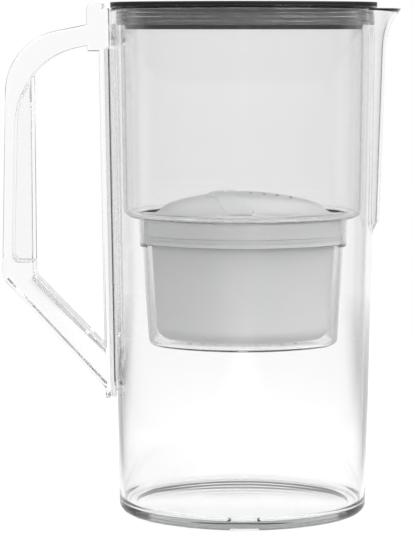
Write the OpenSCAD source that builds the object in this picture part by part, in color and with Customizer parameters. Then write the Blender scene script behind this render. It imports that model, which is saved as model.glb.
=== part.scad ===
// Water filter pitcher: a clear oval jug with a pouring spout and a slide-on handle,
// a reservoir that hangs from the jug's rim, a filter cartridge in the reservoir's
// well, and a lid with a fill flap and a change dial.
// Millimetres, +Z up, spout towards +X, handle towards -X.
// The origin is the centre of the foot, on the plane that the jug stands on.

/* [Jug] */
// Height from the foot to the top of the lid
total_h = 270.6; // [255:0.1:290]
// Half width of the jug at the foot
jug_half_w = 66.4; // [64:0.1:72]
// Half depth of the jug at the foot
jug_half_d = 53; // [51:0.1:58]
// How far each side leans out between the foot and the rim
jug_lean = 3.5; // [2.5:0.1:5]
// Thickness of the jug's wall
jug_wall = 2.4; // [2:0.1:3]
// Thickness of the jug's floor above the foot recess
jug_floor = 3; // [2:0.1:5]
// Radius of the jug's outer bottom edge
jug_edge_r = 4; // [2:0.1:6]
// Depth of the recess inside the foot rim
foot_recess = 1.6; // [1:0.1:2.5]
// Width of the foot rim
foot_rim_w = 5; // [3:0.1:8]
// Width of the drain notch in the front of the foot rim
notch_w = 17; // [8:0.5:24]

/* [Spout] */
// Outer radius of the pouring channel
spout_r = 17; // [14:0.1:19]
// Reach of the channel's outer face from the jug's axis where it starts to flare
spout_reach = 74.6; // [73:0.1:78]
// Draw-in of the channel's outer face from the flare down to the root
spout_draw_in = 2.3; // [0:0.1:4]
// Height of the flare below the rim
spout_flare_h = 22.4; // [15:0.1:30]
// Bend radius of the flare's outer face
spout_bend_r = 35; // [28:0.5:50]
// Length of the channel below the flare
spout_len = 100; // [70:1:115]
// Height of the tapered root of the channel
spout_root_h = 11; // [6:0.5:16]
// How far the root draws in
spout_root_in = 8; // [7:0.1:10]

/* [Handle] */
// Reach of the grip's outer face from the jug's axis
handle_reach = 127.2; // [115:0.1:140]
// Width of the handle across the jug
handle_w = 26; // [22:0.5:32]
// Thickness of the grip
grip_t = 16.5; // [13:0.1:20]
// Thickness of the grip's outer web
grip_web = 5; // [3:0.1:7]
// Thickness of the two side walls of the grip
grip_side = 3; // [2:0.1:5]
// Height of the lower end of the grip
grip_low_z = 126.4; // [110:0.1:135]
// Height of the top arm's upper corner below the rim
grip_top_drop = 16.8; // [12:0.1:30]
// Fall of the top arm from the jug to the grip
arm_fall = 10; // [4:0.1:16]
// Thickness of the top arm at the jug
top_arm_t = 11.3; // [10:0.1:20]
// Height of the lower arm's underside at the jug
low_arm_z = 66.3; // [55:0.1:80]
// Height of the lower arm where it joins the spine
low_arm_t = 19.6; // [14:0.1:24]
// Radius of the outer top corner of the handle
handle_corner_r = 33; // [20:0.5:40]
// Radius of the bend under the top arm, down into the grip's channel
handle_inner_r = 41; // [30:0.5:42]
// Radius of the corners at the lower end of the grip
handle_low_r = 8; // [4:0.5:12]
// Thickness of the handle's spine
spine_t = 5.8; // [5:0.1:8]
// How far the spine runs on below the lower arm
spine_foot = 4; // [2:0.1:8]
// Height of the block at the top of the spine
head_h = 21; // [14:0.5:28]
// How far the block stands out past the spine
head_out = 6.2; // [3:0.1:8]
// How far the block rises past the jug's rim
head_rise = 2.6; // [1:0.1:3]
// Radius of the block's top edge
head_r = 3; // [2:0.1:7]
// How far the rail's root sinks into the jug's wall
rail_sink = 1.2; // [1:0.1:1.6]
// How far the rail stands out from the jug's wall
rail_h = 3; // [2:0.1:4]
// Width of the rail's outer face
rail_w = 17; // [12:0.1:18]
// How much each side of the rail is undercut
rail_undercut = 2.2; // [1:0.1:3]
// Length of the rail
rail_len = 176; // [140:1:190]

/* [Reservoir] */
// Thickness of the reservoir's wall
res_wall = 1.8; // [1.2:0.1:2.4]
// Depth of the reservoir below the jug's rim
res_depth = 109; // [95:0.5:118]
// Gap between the jug's wall and the reservoir's wall at the top
res_gap = 2.9; // [2.4:0.1:4]
// How much the reservoir's wall draws in towards its floor
res_draw_in = 1; // [0.5:0.1:2]
// Radius of the reservoir's bottom edge
res_edge_r = 5; // [3:0.1:8]
// Thickness of the lip that hangs on the jug's rim
lip_t = 1; // [0.8:0.1:2]
// Height of the ribbed ring under the lip
ring_h = 8.6; // [7:0.1:12]
// Number of ribs on the ring
rib_count = 4; // [2:1:6]
// How far the ribs stand out
rib_out = 0.6; // [0.3:0.1:1]

/* [Well] */
// Half width of the well under its band
well_half_w = 53.4; // [50:0.1:55]
// Half depth of the well under its band
well_half_d = 34; // [31:0.1:38]
// Depth of the well below the reservoir's floor
well_depth = 69; // [64:0.2:76]
// Height of the wider band at the top of the well
band_h = 15.6; // [13:0.1:20]
// How far the band stands out past the well
band_out = 1.6; // [1.2:0.1:2.4]
// How much the band widens up to the reservoir's floor
band_flare = 0.8; // [0.4:0.1:1.6]
// Draw-in of the well's wall down to its floor
well_draw_in = 3; // [1:0.1:4]
// Radius of the well's bottom edge
well_edge_r = 4; // [2:0.1:6]
// Radius of the outlet in the well's floor
outlet_r = 4; // [2:0.1:8]

/* [Cartridge] */
// Gap between the well's wall and the cartridge's cup
cup_gap = 3.2; // [2:0.1:5]
// Thickness of the cup's wall
cup_wall = 1.5; // [1:0.1:2]
// Draw-in of the cup's wall down to its floor
cup_draw_in = 2.6; // [1:0.1:4]
// Radius of the cup's bottom edge
cup_edge_r = 8; // [4:0.1:10]
// Height of the cup's underside above the well's floor
cup_stand = 1.4; // [0.6:0.1:3]
// Thickness of the flange that the cartridge hangs by
flange_t = 2; // [1.4:0.1:3]
// Height of the dome's top above the flange
dome_h = 24.4; // [22:0.1:30]
// Radius of the dome's curve
dome_r = 134; // [110:1:180]
// Height of the cap's shoulder above the flange
shoulder_h = 15; // [11:0.1:17]
// Draw-in of the cap from its spigot's seat to its shoulder
shoulder_in = 5.2; // [3:0.1:7]
// Fall of the cap from its shoulder out to its collar
collar_fall = 4.2; // [2:0.1:6]
// Draw-in of the cap over its shoulder, for each millimetre up
shoulder_slope = 0.75; // [0.5:0.05:1]
// Thickness of the cap
cap_t = 1.5; // [1:0.1:2]
// Radius of the curved grip band on the dome
band_r = 28.7; // [22:0.1:32]
// Width of the grip band
grip_band_w = 8.5; // [6:0.1:11]
// Angle that the grip band turns through
grip_band_a = 140; // [100:5:160]
// How far the grip band stands out of the dome
grip_band_h = 0.9; // [0.6:0.1:2]
// Height of the soft ring on the flange
seal_h = 2.6; // [1.6:0.1:4]
// Bevel along the soft ring's upper edge
seal_bevel = 1; // [0.5:0.1:1.4]
// Thickness of each fleece pad
fleece_t = 1.5; // [1:0.1:2.5]
// Thickness of each screen
screen_t = 0.8; // [0.6:0.1:1.2]
// Depth of the cap's spigot in the cup
spigot_h = 4; // [2.5:0.1:6]
// Number of slots in each screen and in the cup's floor
slot_count = 9; // [5:2:11]
// Number of slots in the cap
cap_slots = 4; // [2:1:5]
// Spacing of the slots
slot_pitch = 7; // [5:0.1:8]
// Width of a slot
slot_w = 2; // [1:0.1:3]
// Length of a slot in a screen or in the cup's floor
slot_len = 30; // [20:0.5:36]
// Rim left round the slots of a screen or the cup's floor
slot_rim = 2; // [1.2:0.1:4]
// Length of a slot in the cap
cap_slot_len = 15; // [8:0.5:20]

/* [Lid] */
// Thickness of the lid's plate
plate_t = 2.2; // [2:0.1:3]
// Depth of the lid's skirt below the jug's rim
skirt_depth = 10.6; // [9.5:0.1:14]
// Thickness of the lid's skirt
skirt_t = 1.8; // [1.2:0.1:2.4]
// Depth of the groove round the plate's edge
edge_groove = 0.5; // [0.3:0.1:0.8]
// Height of the groove round the plate's edge
edge_groove_h = 0.4; // [0.2:0.1:0.6]
// Bevel along the plate's top edge and the lid's soft lip
edge_bevel = 0.4; // [0.2:0.1:0.6]
// Height of the soft lip at the foot of the skirt
lid_seal_h = 2; // [1.6:0.1:3]
// Length of the fill flap's pocket, along X
flap_len = 50; // [44:0.5:52]
// Width of the fill flap's pocket
flap_w = 40; // [36:0.5:46]
// Place of the pocket's middle, along X
flap_x = -14; // [-16:0.5:-10]
// Radius of the pocket's corners
flap_corner_r = 8; // [5:0.5:12]
// Gap beside the hinge, where the flap's edge swings past the lid
flap_swing_gap = 1; // [0.9:0.1:1.5]
// Thickness of the fill flap
flap_t = 1.8; // [1.6:0.1:2]
// Width of the ledge that the flap rests on
ledge_w = 2.5; // [1.5:0.1:4]
// Depth of the collar under the fill opening
collar_h = 4.4; // [3:0.1:6]
// Radius of the hinge pin
pin_r = 1.2; // [1:0.05:1.4]
// Radius of the flap's hinge barrel
barrel_r = 2.2; // [2.1:0.1:2.4]
// Length of the flap's hinge barrel
barrel_len = 22; // [16:0.5:24]
// Thickness of each lug that holds the pin
lug_t = 5; // [3:0.1:6]
// Radius of the change dial
dial_r = 13; // [10:0.1:14]
// Place of the dial's middle, along X
dial_x = 36; // [34:0.5:38]
// Thickness of the change dial
dial_t = 1.75; // [1.4:0.05:1.8]
// Depth of the dial's recess in the lid
dial_depth = 2.05; // [1.9:0.05:2.2]
// Play of the dial over its floor and under its cap
dial_play = 0.1; // [0.05:0.05:0.2]
// Number of notches round the dial
dial_notches = 12; // [6:1:16]
// Radius of each notch
dial_notch_r = 0.8; // [0.5:0.1:1.2]
// Radius of the boss that the dial turns on
boss_r = 3; // [2.4:0.1:3.6]
// Radius of the bore in the boss
boss_bore_r = 1.5; // [1:0.1:1.8]
// Radius of the dial's cap
cap_disc_r = 5; // [4.2:0.1:6]
// Thickness of the dial's cap
cap_disc_t = 0.65; // [0.5:0.05:0.8]
// Length of the stem under the dial's cap
cap_stem_h = 1.2; // [0.8:0.1:1.25]

/* [Fits] */
// Gap between pieces that lift out of each other
lift_gap = 0.4; // [0.3:0.05:0.6]
// Gap of the handle's slot round the rail
slide_gap = 0.2; // [0.1:0.05:0.3]
// Gap beside flat pieces inside the cartridge
inner_gap = 0.2; // [0.15:0.05:0.3]
// Radial gap of a pressed pin
press_gap = 0.02; // [0.01:0.01:0.03]
// Radial gap of a turning fit
turn_gap = 0.08; // [0.05:0.01:0.1]

/* [Hidden] */

$fn = 96;
// Steps along a rounded corner of an outline, and of a turned profile
corner_steps = 8;
edge_steps = 4;
// Facets round the wide dome of the cap
dome_fn = 180;
// Length by which a cut runs past what it cuts
past = 1;

// Heights of the main seats, from the top down
plate_z = total_h - plate_t;
rim_z = plate_z - lip_t;
ring_z = rim_z - ring_h;
skirt_z = rim_z - skirt_depth;
res_floor_z = rim_z - res_depth;
band_z = res_floor_z - band_h;
well_z = res_floor_z - well_depth;

jug_oval = [jug_half_w, jug_half_d];
well_oval = [well_half_w, well_half_d];

// Offset of the jug's outer face from the foot oval at height z
function lean_at(z) = jug_lean * z / rim_z;
lean_angle = atan(jug_lean / rim_z);

// Offsets of the reservoir from the jug's foot oval
res_top_d = lean_at(ring_z) - jug_wall - res_gap;
res_low_d = res_top_d - res_draw_in;
ring_d = lean_at(ring_z) - jug_wall - lift_gap;
lid_d = lean_at(rim_z);

// Heights inside the well
ledge_z = band_z + res_wall;
well_floor_z = well_z + res_wall;
// Offsets of the well from its oval
band_in_d = band_out - res_wall;
cup_d = -res_wall - cup_gap;

// Heights of the cartridge
cup_z = well_floor_z + cup_stand;
flange_z = ledge_z + flange_t;
shoulder_z = flange_z + shoulder_h;
dome_z = flange_z + dome_h;
spigot_z = flange_z - spigot_h;
cup_floor_z = cup_z + cup_wall;
// Offsets of the cartridge from the well's oval
flange_d = band_in_d - lift_gap;
cap_d = cup_d;
seal_in_d = cap_d + inner_gap;

// Hinge of the fill flap
pocket_x0 = flap_x - flap_len / 2;
pocket_x1 = flap_x + flap_len / 2;
lug_w = 2 * (barrel_r + lift_gap);
hinge_x = pocket_x0 - barrel_r + lift_gap;
hinge_z = total_h - barrel_r;
flap_z = total_h - flap_t;
lug_y = barrel_len / 2 + lift_gap;

// Seat of the change dial, from its floor up to the boss that its cap sits on
dial_floor_z = total_h - dial_depth;
dial_z = dial_floor_z + dial_play;
boss_h = dial_depth - cap_disc_t - dial_play;

// Four arcs make an oval of [half width, half depth]. Their centres and radii keep to
// steps of a 3-4-5 triangle, so the arcs meet in line.
function oval_step(o) = (o[0] - o[1]) / 2;
function end_r(o) = o[1] - oval_step(o);
function side_r(o) = end_r(o) + 5 * oval_step(o);

// Points along an arc about c
function arc(c, r, a0, a1, n = corner_steps) =
    [for (i = [0:n]) c + r * [cos(a0 + (a1 - a0) * i / n), sin(a0 + (a1 - a0) * i / n)]];

// One rounded corner at p, between the points before and after it
function unit(v) = v / norm(v);
function turn(a) = a > 180 ? a - 360 : a < -180 ? a + 360 : a;
function corner(before, p, after, r) =
    let (
        u = unit(before - p),
        w = unit(after - p),
        half = acos(u * w) / 2,
        c = p + unit(u + w) * r / sin(half),
        s = p + u * r / tan(half) - c,
        e = p + w * r / tan(half) - c,
        a0 = atan2(s.y, s.x)
    ) arc(c, r, a0, a0 + turn(atan2(e.y, e.x) - a0));

// Closed outline whose points are [x, y, corner radius], with 0 for a sharp corner
function rounded(pts) =
    let (n = len(pts), at = function (i) [pts[(i + n) % n][0], pts[(i + n) % n][1]])
    [for (i = [0:n - 1]) each pts[i][2] == 0 ? [at(i)] : corner(at(i - 1), at(i), at(i + 1), pts[i][2])];

function box_outline(x0, x1, w, r) =
    rounded([[x0, -w / 2, r], [x1, -w / 2, r], [x1, w / 2, r], [x0, w / 2, r]]);

// Turns a profile of [offset, height] points round the four arcs of an oval,
// filled to the middle
module oval_plug(o, pts) {
    k = oval_step(o);
    far_y = 2 * o[0];
    far_x = 3 * k + 0.75 * far_y;
    z0 = pts[0][1];
    z1 = pts[len(pts) - 1][1];
    for (s = [1, -1]) {
        intersection() {
            translate([s * 3 * k, 0, 0]) rotate_extrude() plug_profile(end_r(o), pts);
            translate([0, 0, z0 - past]) linear_extrude(z1 - z0 + 2 * past)
                polygon([[s * 3 * k, 0], [s * far_x, far_y], [s * far_x, -far_y]]);
        }
        intersection() {
            translate([0, -s * 4 * k, 0]) rotate_extrude() plug_profile(side_r(o), pts);
            translate([0, 0, z0 - past]) linear_extrude(z1 - z0 + 2 * past)
                polygon([[2.25 * k, -s * k], [far_x, s * far_y], [-far_x, s * far_y], [-2.25 * k, -s * k]]);
        }
    }
}

module plug_profile(r, pts) {
    wall = [for (p = pts) [r + p[0], p[1]]];
    polygon(concat([[0, pts[0][1]]], wall, [[0, pts[len(pts) - 1][1]]]));
}

module oval_slab(o, d, z0, z1) oval_plug(o, [[d, z0], [d, z1]]);

// Pouring channel: a turned form whose outer face is drawn in by t, up to a height over the rim
spout_x = spout_reach - spout_r;
spout_flare_z = rim_z - spout_flare_h;
spout_root_z = spout_flare_z - spout_len;

module spout_form(t, over) {
    r = spout_r - t;
    low_r = r - spout_draw_in;
    flare_c = [spout_r + spout_bend_r, spout_flare_z];
    flare_a = asin((spout_flare_h + over) / spout_bend_r);
    flare = arc(flare_c, spout_bend_r + t, 180, 180 - flare_a, edge_steps);
    top = flare[edge_steps];
    translate([spout_x, 0, 0]) rotate_extrude() polygon(concat(
        [[0, spout_root_z], [low_r - spout_root_in, spout_root_z], [low_r, spout_root_z + spout_root_h]],
        flare,
        [[0, top.y]]
    ));
}

module jug_outside() {
    edge_c = [lean_at(jug_edge_r) - jug_edge_r, jug_edge_r];
    oval_plug(jug_oval, concat(
        arc(edge_c, jug_edge_r, -90, 0, edge_steps),
        [[lean_at(rim_z), rim_z]]
    ));
}

module jug_inside() {
    floor_z = foot_recess + jug_floor;
    r = jug_edge_r;
    z1 = rim_z + past;
    c = [lean_at(floor_z + r) - jug_wall - r, floor_z + r];
    oval_plug(jug_oval, concat(arc(c, r, -90, 0, edge_steps), [[lean_at(z1) - jug_wall, z1]]));
}

// Frame that lies along the jug's wall behind the handle, with -X out of the wall
module on_wall() {
    translate([-jug_half_w, 0, 0]) rotate([0, -lean_angle, 0]) children();
}

rail_top = rim_z - head_h;

// Dovetail section of the rail, grown by a gap
module rail_section(gap) {
    half = rail_w / 2 + gap;
    root = half - rail_undercut * (rail_h + rail_sink) / rail_h;
    polygon([[rail_sink, -root], [rail_sink, root], [-rail_h - gap, half], [-rail_h - gap, -half]]);
}

module jug_body() {
    slant = foot_recess;
    color([0.93, 0.95, 0.96, 0.45]) difference() {
        union() {
            jug_outside();
            spout_form(0, 0);
            on_wall() translate([0, 0, rail_top - rail_len])
                linear_extrude(rail_len) rail_section(0);
        }
        jug_inside();
        spout_form(jug_wall, past);
        translate([0, 0, -past]) oval_slab(jug_oval, -jug_edge_r - foot_rim_w, 0, foot_recess + past);
        translate([0, -jug_half_d / 2, 0]) rotate([90, 0, 0]) linear_extrude(jug_half_d) polygon([
            [-notch_w / 2 - past, -past], [notch_w / 2 + past, -past],
            [notch_w / 2 - slant, foot_recess], [-notch_w / 2 + slant, foot_recess]
        ]);
    }
}

// Middle of the spine's web, between the slot for the rail and the outer face
spine_mid = (spine_t + rail_h + slide_gap) / 2;

// Channel of the grip, open towards the jug
channel_x = -handle_reach + grip_web;
channel_mouth_x = -handle_reach + grip_t;
channel_z = grip_low_z + handle_low_r;

// Where the top arm meets the spine, and the corner under it, which keeps to the lean and
// the fall of the outer faces
arm_root_x = -jug_half_w - jug_lean - spine_mid;
arm_top_z = rim_z - grip_top_drop;
arm_outer_x = -handle_reach + jug_lean;
under_arm_z = arm_top_z + arm_fall - top_arm_t;
under_x = channel_x + jug_lean;
under_corner = [under_x, under_arm_z - arm_fall * (arm_root_x - under_x) / (arm_root_x - arm_outer_x)];
along_arm = unit([arm_root_x, under_arm_z] - under_corner);
down_grip = unit([channel_x, channel_z] - under_corner);
channel_bend = under_corner
    + unit(along_arm + down_grip) * handle_inner_r / sin(acos(along_arm * down_grip) / 2);

// Side outline of the handle's arms and the web of its grip, as [x, z]
function handle_outline() =
    let (low_root_x = -jug_half_w - lean_at(low_arm_z) - spine_mid)
    rounded([
        [arm_root_x, arm_top_z + arm_fall, 0],
        [arm_outer_x, arm_top_z, handle_corner_r],
        [-handle_reach, grip_low_z, handle_low_r],
        [low_root_x, low_arm_z, 0],
        [low_root_x, low_arm_z + low_arm_t, 0],
        [channel_mouth_x, grip_low_z, handle_low_r / 2],
        [channel_mouth_x, channel_z, 0],
        [channel_x, channel_z, handle_low_r / 2],
        [under_corner.x, under_corner.y, handle_inner_r],
        [arm_root_x, under_arm_z, 0]
    ]);

// Side outline of one of the channel's walls, sunk into the web and both arms
function channel_wall() =
    let (
        r = handle_inner_r + grip_web / 2,
        start_a = 90 + atan2(-down_grip.y, -down_grip.x),
        end_a = acos((channel_mouth_x - channel_bend.x) / r)
    )
    concat(
        [[channel_mouth_x, channel_z - past], [channel_x - grip_web / 2, channel_z - past]],
        arc(channel_bend, r, start_a, end_a)
    );

// Side outline of the spine and its head, along the jug's wall
function spine_outline() = rounded([
    [-slide_gap, low_arm_z - spine_foot, 0],
    [-slide_gap, rim_z, 0],
    [-slide_gap - rail_h, rim_z, 0],
    [-slide_gap - rail_h, rim_z + head_rise, 0],
    [-spine_t - head_out, rim_z + head_rise, head_r],
    [-spine_t - head_out, rail_top - past, 0],
    [-spine_t, rail_top - past, 0],
    [-spine_t, low_arm_z - spine_foot, 0]
]);

module side_extrude(w) {
    translate([0, w / 2, 0]) rotate([90, 0, 0]) linear_extrude(w) children();
}

module handle() {
    wall_y = (handle_w - grip_side) / 2;
    color([0.93, 0.95, 0.96, 0.45]) difference() {
        union() {
            side_extrude(handle_w) {
                polygon(handle_outline());
                translate([-jug_half_w, 0]) rotate(lean_angle) polygon(spine_outline());
            }
            for (s = [-1, 1]) translate([0, s * wall_y, 0]) side_extrude(grip_side) polygon(channel_wall());
        }
        on_wall() linear_extrude(rail_top) rail_section(slide_gap);
    }
}

// Ribbed ring at the top of the reservoir, from its foot up to the lip. One rib and the
// gap above it are points of [share of the rib's height, share of the pitch].
rib_shape = [[1, 0.15], [1, 0.6], [0, 0.65], [0, 0.95]];

function rib_points() =
    let (pitch = ring_h / rib_count, root_d = ring_d - rib_out)
    [for (i = [0:rib_count - 1], p = rib_shape) [root_d + rib_out * p[0], ring_z + pitch * (i + p[1])]];

module reservoir() {
    well_low_d = -well_draw_in;
    well_c = [well_low_d - well_edge_r, well_z + well_edge_r];
    res_c = [res_low_d - res_edge_r, res_floor_z + res_edge_r];
    inner_r = res_edge_r - res_wall;
    well_in_r = well_edge_r - res_wall;
    ring_in_d = ring_d - rib_out - res_wall;
    color([0.86, 0.87, 0.88, 0.7]) difference() {
        union() {
            oval_plug(jug_oval, concat(
                arc(res_c, res_edge_r, -90, 0, edge_steps),
                [[res_top_d, ring_z], [ring_d - rib_out, ring_z]],
                rib_points(),
                [[ring_d - rib_out, rim_z], [lid_d, rim_z], [lid_d, plate_z]]
            ));
            oval_plug(well_oval, concat(
                arc(well_c, well_edge_r, -90, 0, edge_steps),
                [[0, band_z], [band_out, band_z], [band_out + band_flare, res_floor_z + res_wall / 2]]
            ));
        }
        oval_plug(jug_oval, concat(
            arc(res_c, inner_r, -90, 0, edge_steps),
            [
                [res_top_d - res_wall, ring_z], [res_top_d - res_wall, ring_z + res_wall],
                [ring_in_d, ring_z + res_wall], [ring_in_d, plate_z + past]
            ]
        ));
        oval_plug(well_oval, concat(
            arc(well_c, well_in_r, -90, 0, edge_steps),
            [
                [-res_wall, band_z], [-res_wall, ledge_z], [band_in_d, ledge_z],
                [band_in_d + band_flare, res_floor_z + res_wall + past]
            ]
        ));
        translate([0, 0, well_z - past]) cylinder(r = outlet_r, h = res_wall + 2 * past);
    }
}

// Row of slots along X, for the screens and the cartridge's ends
module slot_row(count, pitch, len, w, h) {
    for (i = [0:count - 1]) translate([(i - (count - 1) / 2) * pitch, 0, 0])
        translate([-w / 2, -len / 2, 0]) cube([w, len, h]);
}

// Slots from height z up, kept inside the rim of an oval of offset d
module slots_within(d, z, h) {
    intersection() {
        translate([0, 0, z]) slot_row(slot_count, slot_pitch, slot_len, slot_w, h);
        oval_slab(well_oval, d - slot_rim, z - past, z + h + past);
    }
}

module cartridge_cup() {
    c = [cup_d - cup_draw_in - cup_edge_r, cup_z + cup_edge_r];
    color("white") difference() {
        oval_plug(well_oval, concat(
            arc(c, cup_edge_r, -90, 0, edge_steps),
            [[cup_d, ledge_z], [flange_d, ledge_z], [flange_d, flange_z]]
        ));
        oval_plug(well_oval, concat(
            arc(c, cup_edge_r - cup_wall, -90, 0, edge_steps),
            [[cup_d - cup_wall, ledge_z], [cup_d - cup_wall, flange_z + past]]
        ));
        slots_within(floor_d, cup_z - past, cup_wall + 2 * past);
    }
}

// Dome and collar of the cap, drawn in by t all over. The collar rests on the soft ring.
module dome_form(t) {
    top_d = cap_d - shoulder_in;
    rise = dome_z - shoulder_z;
    fall_slope = collar_fall / (flange_d - top_d);
    fall_t = t * sqrt(1 + fall_slope * fall_slope);
    sink = (t * fall_slope - fall_t) / (1 - shoulder_slope * fall_slope);
    intersection() {
        oval_plug(well_oval, [
            [cap_d - t, flange_z], [cap_d - t, flange_z + seal_h + t], [flange_d - t, flange_z + seal_h + t],
            [flange_d - t, shoulder_z - collar_fall + t * fall_slope - fall_t],
            [top_d - t - sink * shoulder_slope, shoulder_z + sink],
            [top_d - t - rise * shoulder_slope, dome_z + past]
        ]);
        translate([0, 0, dome_z - dome_r]) sphere(r = dome_r - t, $fn = dome_fn);
    }
}

module cartridge_cap() {
    spigot_d = cup_d - cup_wall - inner_gap;
    band_x = band_r / 2;
    color("whitesmoke") difference() {
        union() {
            dome_form(0);
            intersection() {
                translate([0, 0, grip_band_h]) dome_form(0);
                translate([band_x, 0, shoulder_z]) rotate([0, 0, 180 - grip_band_a / 2])
                    rotate_extrude(angle = grip_band_a)
                    translate([band_r - grip_band_w / 2, 0]) square([grip_band_w, dome_h]);
            }
            oval_slab(well_oval, spigot_d, spigot_z, flange_z + past);
        }
        intersection() {
            dome_form(cap_t);
            oval_slab(well_oval, cap_d, flange_z + cap_t, dome_z + past);
        }
        oval_slab(well_oval, spigot_d - cap_t, spigot_z - past, flange_z + cap_t + past);
        translate([band_x, 0, shoulder_z]) slot_row(cap_slots, slot_pitch, cap_slot_len, slot_w, dome_h);
    }
}

module cartridge_seal() {
    top_z = flange_z + seal_h;
    color("gainsboro") difference() {
        oval_plug(well_oval, [
            [flange_d, flange_z], [flange_d, top_z - seal_bevel], [flange_d - seal_bevel, top_z]
        ]);
        oval_slab(well_oval, seal_in_d, flange_z - past, top_z + past);
    }
}

// Offset of a piece that fills the cup at height z, and of one on the cup's floor
function fill_d(z) =
    cup_d - cup_wall - inner_gap - cup_draw_in * (ledge_z - z) / (ledge_z - cup_z - cup_edge_r);
floor_d = cup_d - cup_draw_in - cup_edge_r;

bottom_screen_z = cup_floor_z;
bottom_fleece_z = bottom_screen_z + screen_t;
granules_z = bottom_fleece_z + fleece_t;
top_screen_z = spigot_z - screen_t;
top_fleece_z = top_screen_z - fleece_t;

module screen(d, z) {
    difference() {
        oval_slab(well_oval, d, z, z + screen_t);
        slots_within(d, z - past, screen_t + 2 * past);
    }
}

module top_screen() color("gray") screen(fill_d(top_screen_z), top_screen_z);
module bottom_screen() color("gray") screen(floor_d, bottom_screen_z);

module top_fleece() {
    color("ivory") oval_slab(well_oval, fill_d(top_fleece_z), top_fleece_z, top_screen_z);
}

module bottom_fleece() {
    color("ivory") oval_slab(well_oval, floor_d, bottom_fleece_z, granules_z);
}

module filter_granules() {
    low_z = cup_z + cup_edge_r;
    color("dimgray") oval_plug(well_oval, [
        [floor_d, granules_z], [fill_d(low_z), max(low_z, granules_z + past)],
        [fill_d(top_fleece_z), top_fleece_z]
    ]);
}

skirt_top_d = ring_d - rib_out - res_wall - lift_gap;
skirt_low_d = res_top_d - res_wall - lift_gap;
skirt_step_z = ring_z + res_wall + lift_gap;
seal_groove_z = skirt_z + lid_seal_h;

module lid_shell() {
    groove_z = plate_z + plate_t / 2 - edge_groove_h / 2;
    color([0.2, 0.2, 0.21]) difference() {
        union() {
            oval_plug(jug_oval, [
                [lid_d, plate_z], [lid_d, groove_z - edge_groove_h / 2], [lid_d - edge_groove, groove_z],
                [lid_d, groove_z + edge_groove_h / 2], [lid_d, total_h - edge_bevel],
                [lid_d - edge_bevel, total_h]
            ]);
            difference() {
                oval_plug(jug_oval, [
                    [skirt_low_d, seal_groove_z], [skirt_low_d, skirt_step_z],
                    [skirt_top_d, skirt_step_z], [skirt_top_d, plate_z + past]
                ]);
                oval_slab(jug_oval, skirt_low_d - skirt_t, seal_groove_z - past, plate_z + 2 * past);
            }
            translate([0, 0, plate_z - collar_h]) linear_extrude(collar_h + plate_t / 2)
                polygon(box_outline(
                    pocket_x0 - skirt_t, pocket_x1 + skirt_t, flap_w + 2 * skirt_t, flap_corner_r + skirt_t
                ));
            for (s = [-1, 1])
                translate([hinge_x - lug_w / 2, s * (lug_y + lug_t / 2) - lug_t / 2, plate_z - barrel_r])
                    cube([lug_w, lug_t, barrel_r + plate_t / 2]);
            translate([dial_x, 0, plate_z - plate_t / 2]) cylinder(r = dial_r + plate_t, h = plate_t);
        }
        translate([0, 0, flap_z]) linear_extrude(plate_t)
            polygon(box_outline(pocket_x0, pocket_x1, flap_w, flap_corner_r));
        translate([0, 0, plate_z - collar_h - past]) linear_extrude(collar_h + plate_t + 2 * past)
            polygon(box_outline(
                pocket_x0 + ledge_w, pocket_x1 - ledge_w, flap_w - 2 * ledge_w, flap_corner_r - ledge_w
            ));
        translate([hinge_x - lug_w / 2, -lug_y, plate_z - collar_h - past])
            cube([lug_w + 2 * ledge_w, 2 * lug_y, collar_h + plate_t + 2 * past]);
        translate([hinge_x, 0, hinge_z]) rotate([90, 0, 0])
            cylinder(r = pin_r + press_gap, h = 2 * (lug_y + lug_t) + past, center = true);
        difference() {
            translate([dial_x, 0, dial_floor_z]) cylinder(r = dial_r + lift_gap, h = plate_t);
            translate([dial_x, 0, dial_floor_z - past]) cylinder(r = boss_r, h = past + boss_h);
        }
        translate([dial_x, 0, dial_floor_z]) cylinder(r = boss_bore_r, h = plate_t);
    }
}

module lid_seal() {
    color([0.15, 0.15, 0.16]) difference() {
        oval_plug(jug_oval, [
            [skirt_low_d - edge_bevel, skirt_z], [skirt_low_d, skirt_z + edge_bevel],
            [skirt_low_d, seal_groove_z]
        ]);
        oval_slab(jug_oval, skirt_low_d - skirt_t, skirt_z - past, seal_groove_z + past);
    }
}

module fill_flap() {
    side_x = hinge_x + barrel_r + flap_swing_gap;
    color([0.24, 0.24, 0.25]) difference() {
        union() {
            translate([0, 0, flap_z]) linear_extrude(flap_t)
                polygon(box_outline(
                    side_x, pocket_x1 - lift_gap, flap_w - 2 * lift_gap, flap_corner_r - lift_gap
                ));
            translate([hinge_x, -barrel_len / 2, flap_z])
                cube([side_x - hinge_x + flap_corner_r, barrel_len, flap_t]);
            translate([hinge_x, 0, hinge_z]) rotate([90, 0, 0])
                cylinder(r = barrel_r, h = barrel_len, center = true);
        }
        translate([hinge_x, 0, hinge_z]) rotate([90, 0, 0])
            cylinder(r = pin_r + turn_gap, h = barrel_len + past, center = true);
    }
}

module flap_hinge_pin() {
    color("silver") translate([hinge_x, 0, hinge_z]) rotate([90, 0, 0])
        cylinder(r = pin_r, h = 2 * (lug_y + lug_t), center = true);
}

module change_dial() {
    seat_z = boss_h - 2 * dial_play;
    color([0.35, 0.35, 0.36]) translate([dial_x, 0, dial_z]) difference() {
        cylinder(r = dial_r, h = dial_t);
        translate([0, 0, -past]) cylinder(r = boss_r + turn_gap, h = dial_t + 2 * past);
        translate([0, 0, seat_z]) cylinder(r = cap_disc_r + lift_gap, h = dial_t);
        for (i = [0:dial_notches - 1]) rotate([0, 0, i * 360 / dial_notches])
            translate([dial_r, 0, -past]) cylinder(r = dial_notch_r, h = dial_t + 2 * past, $fn = 24);
    }
}

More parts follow.
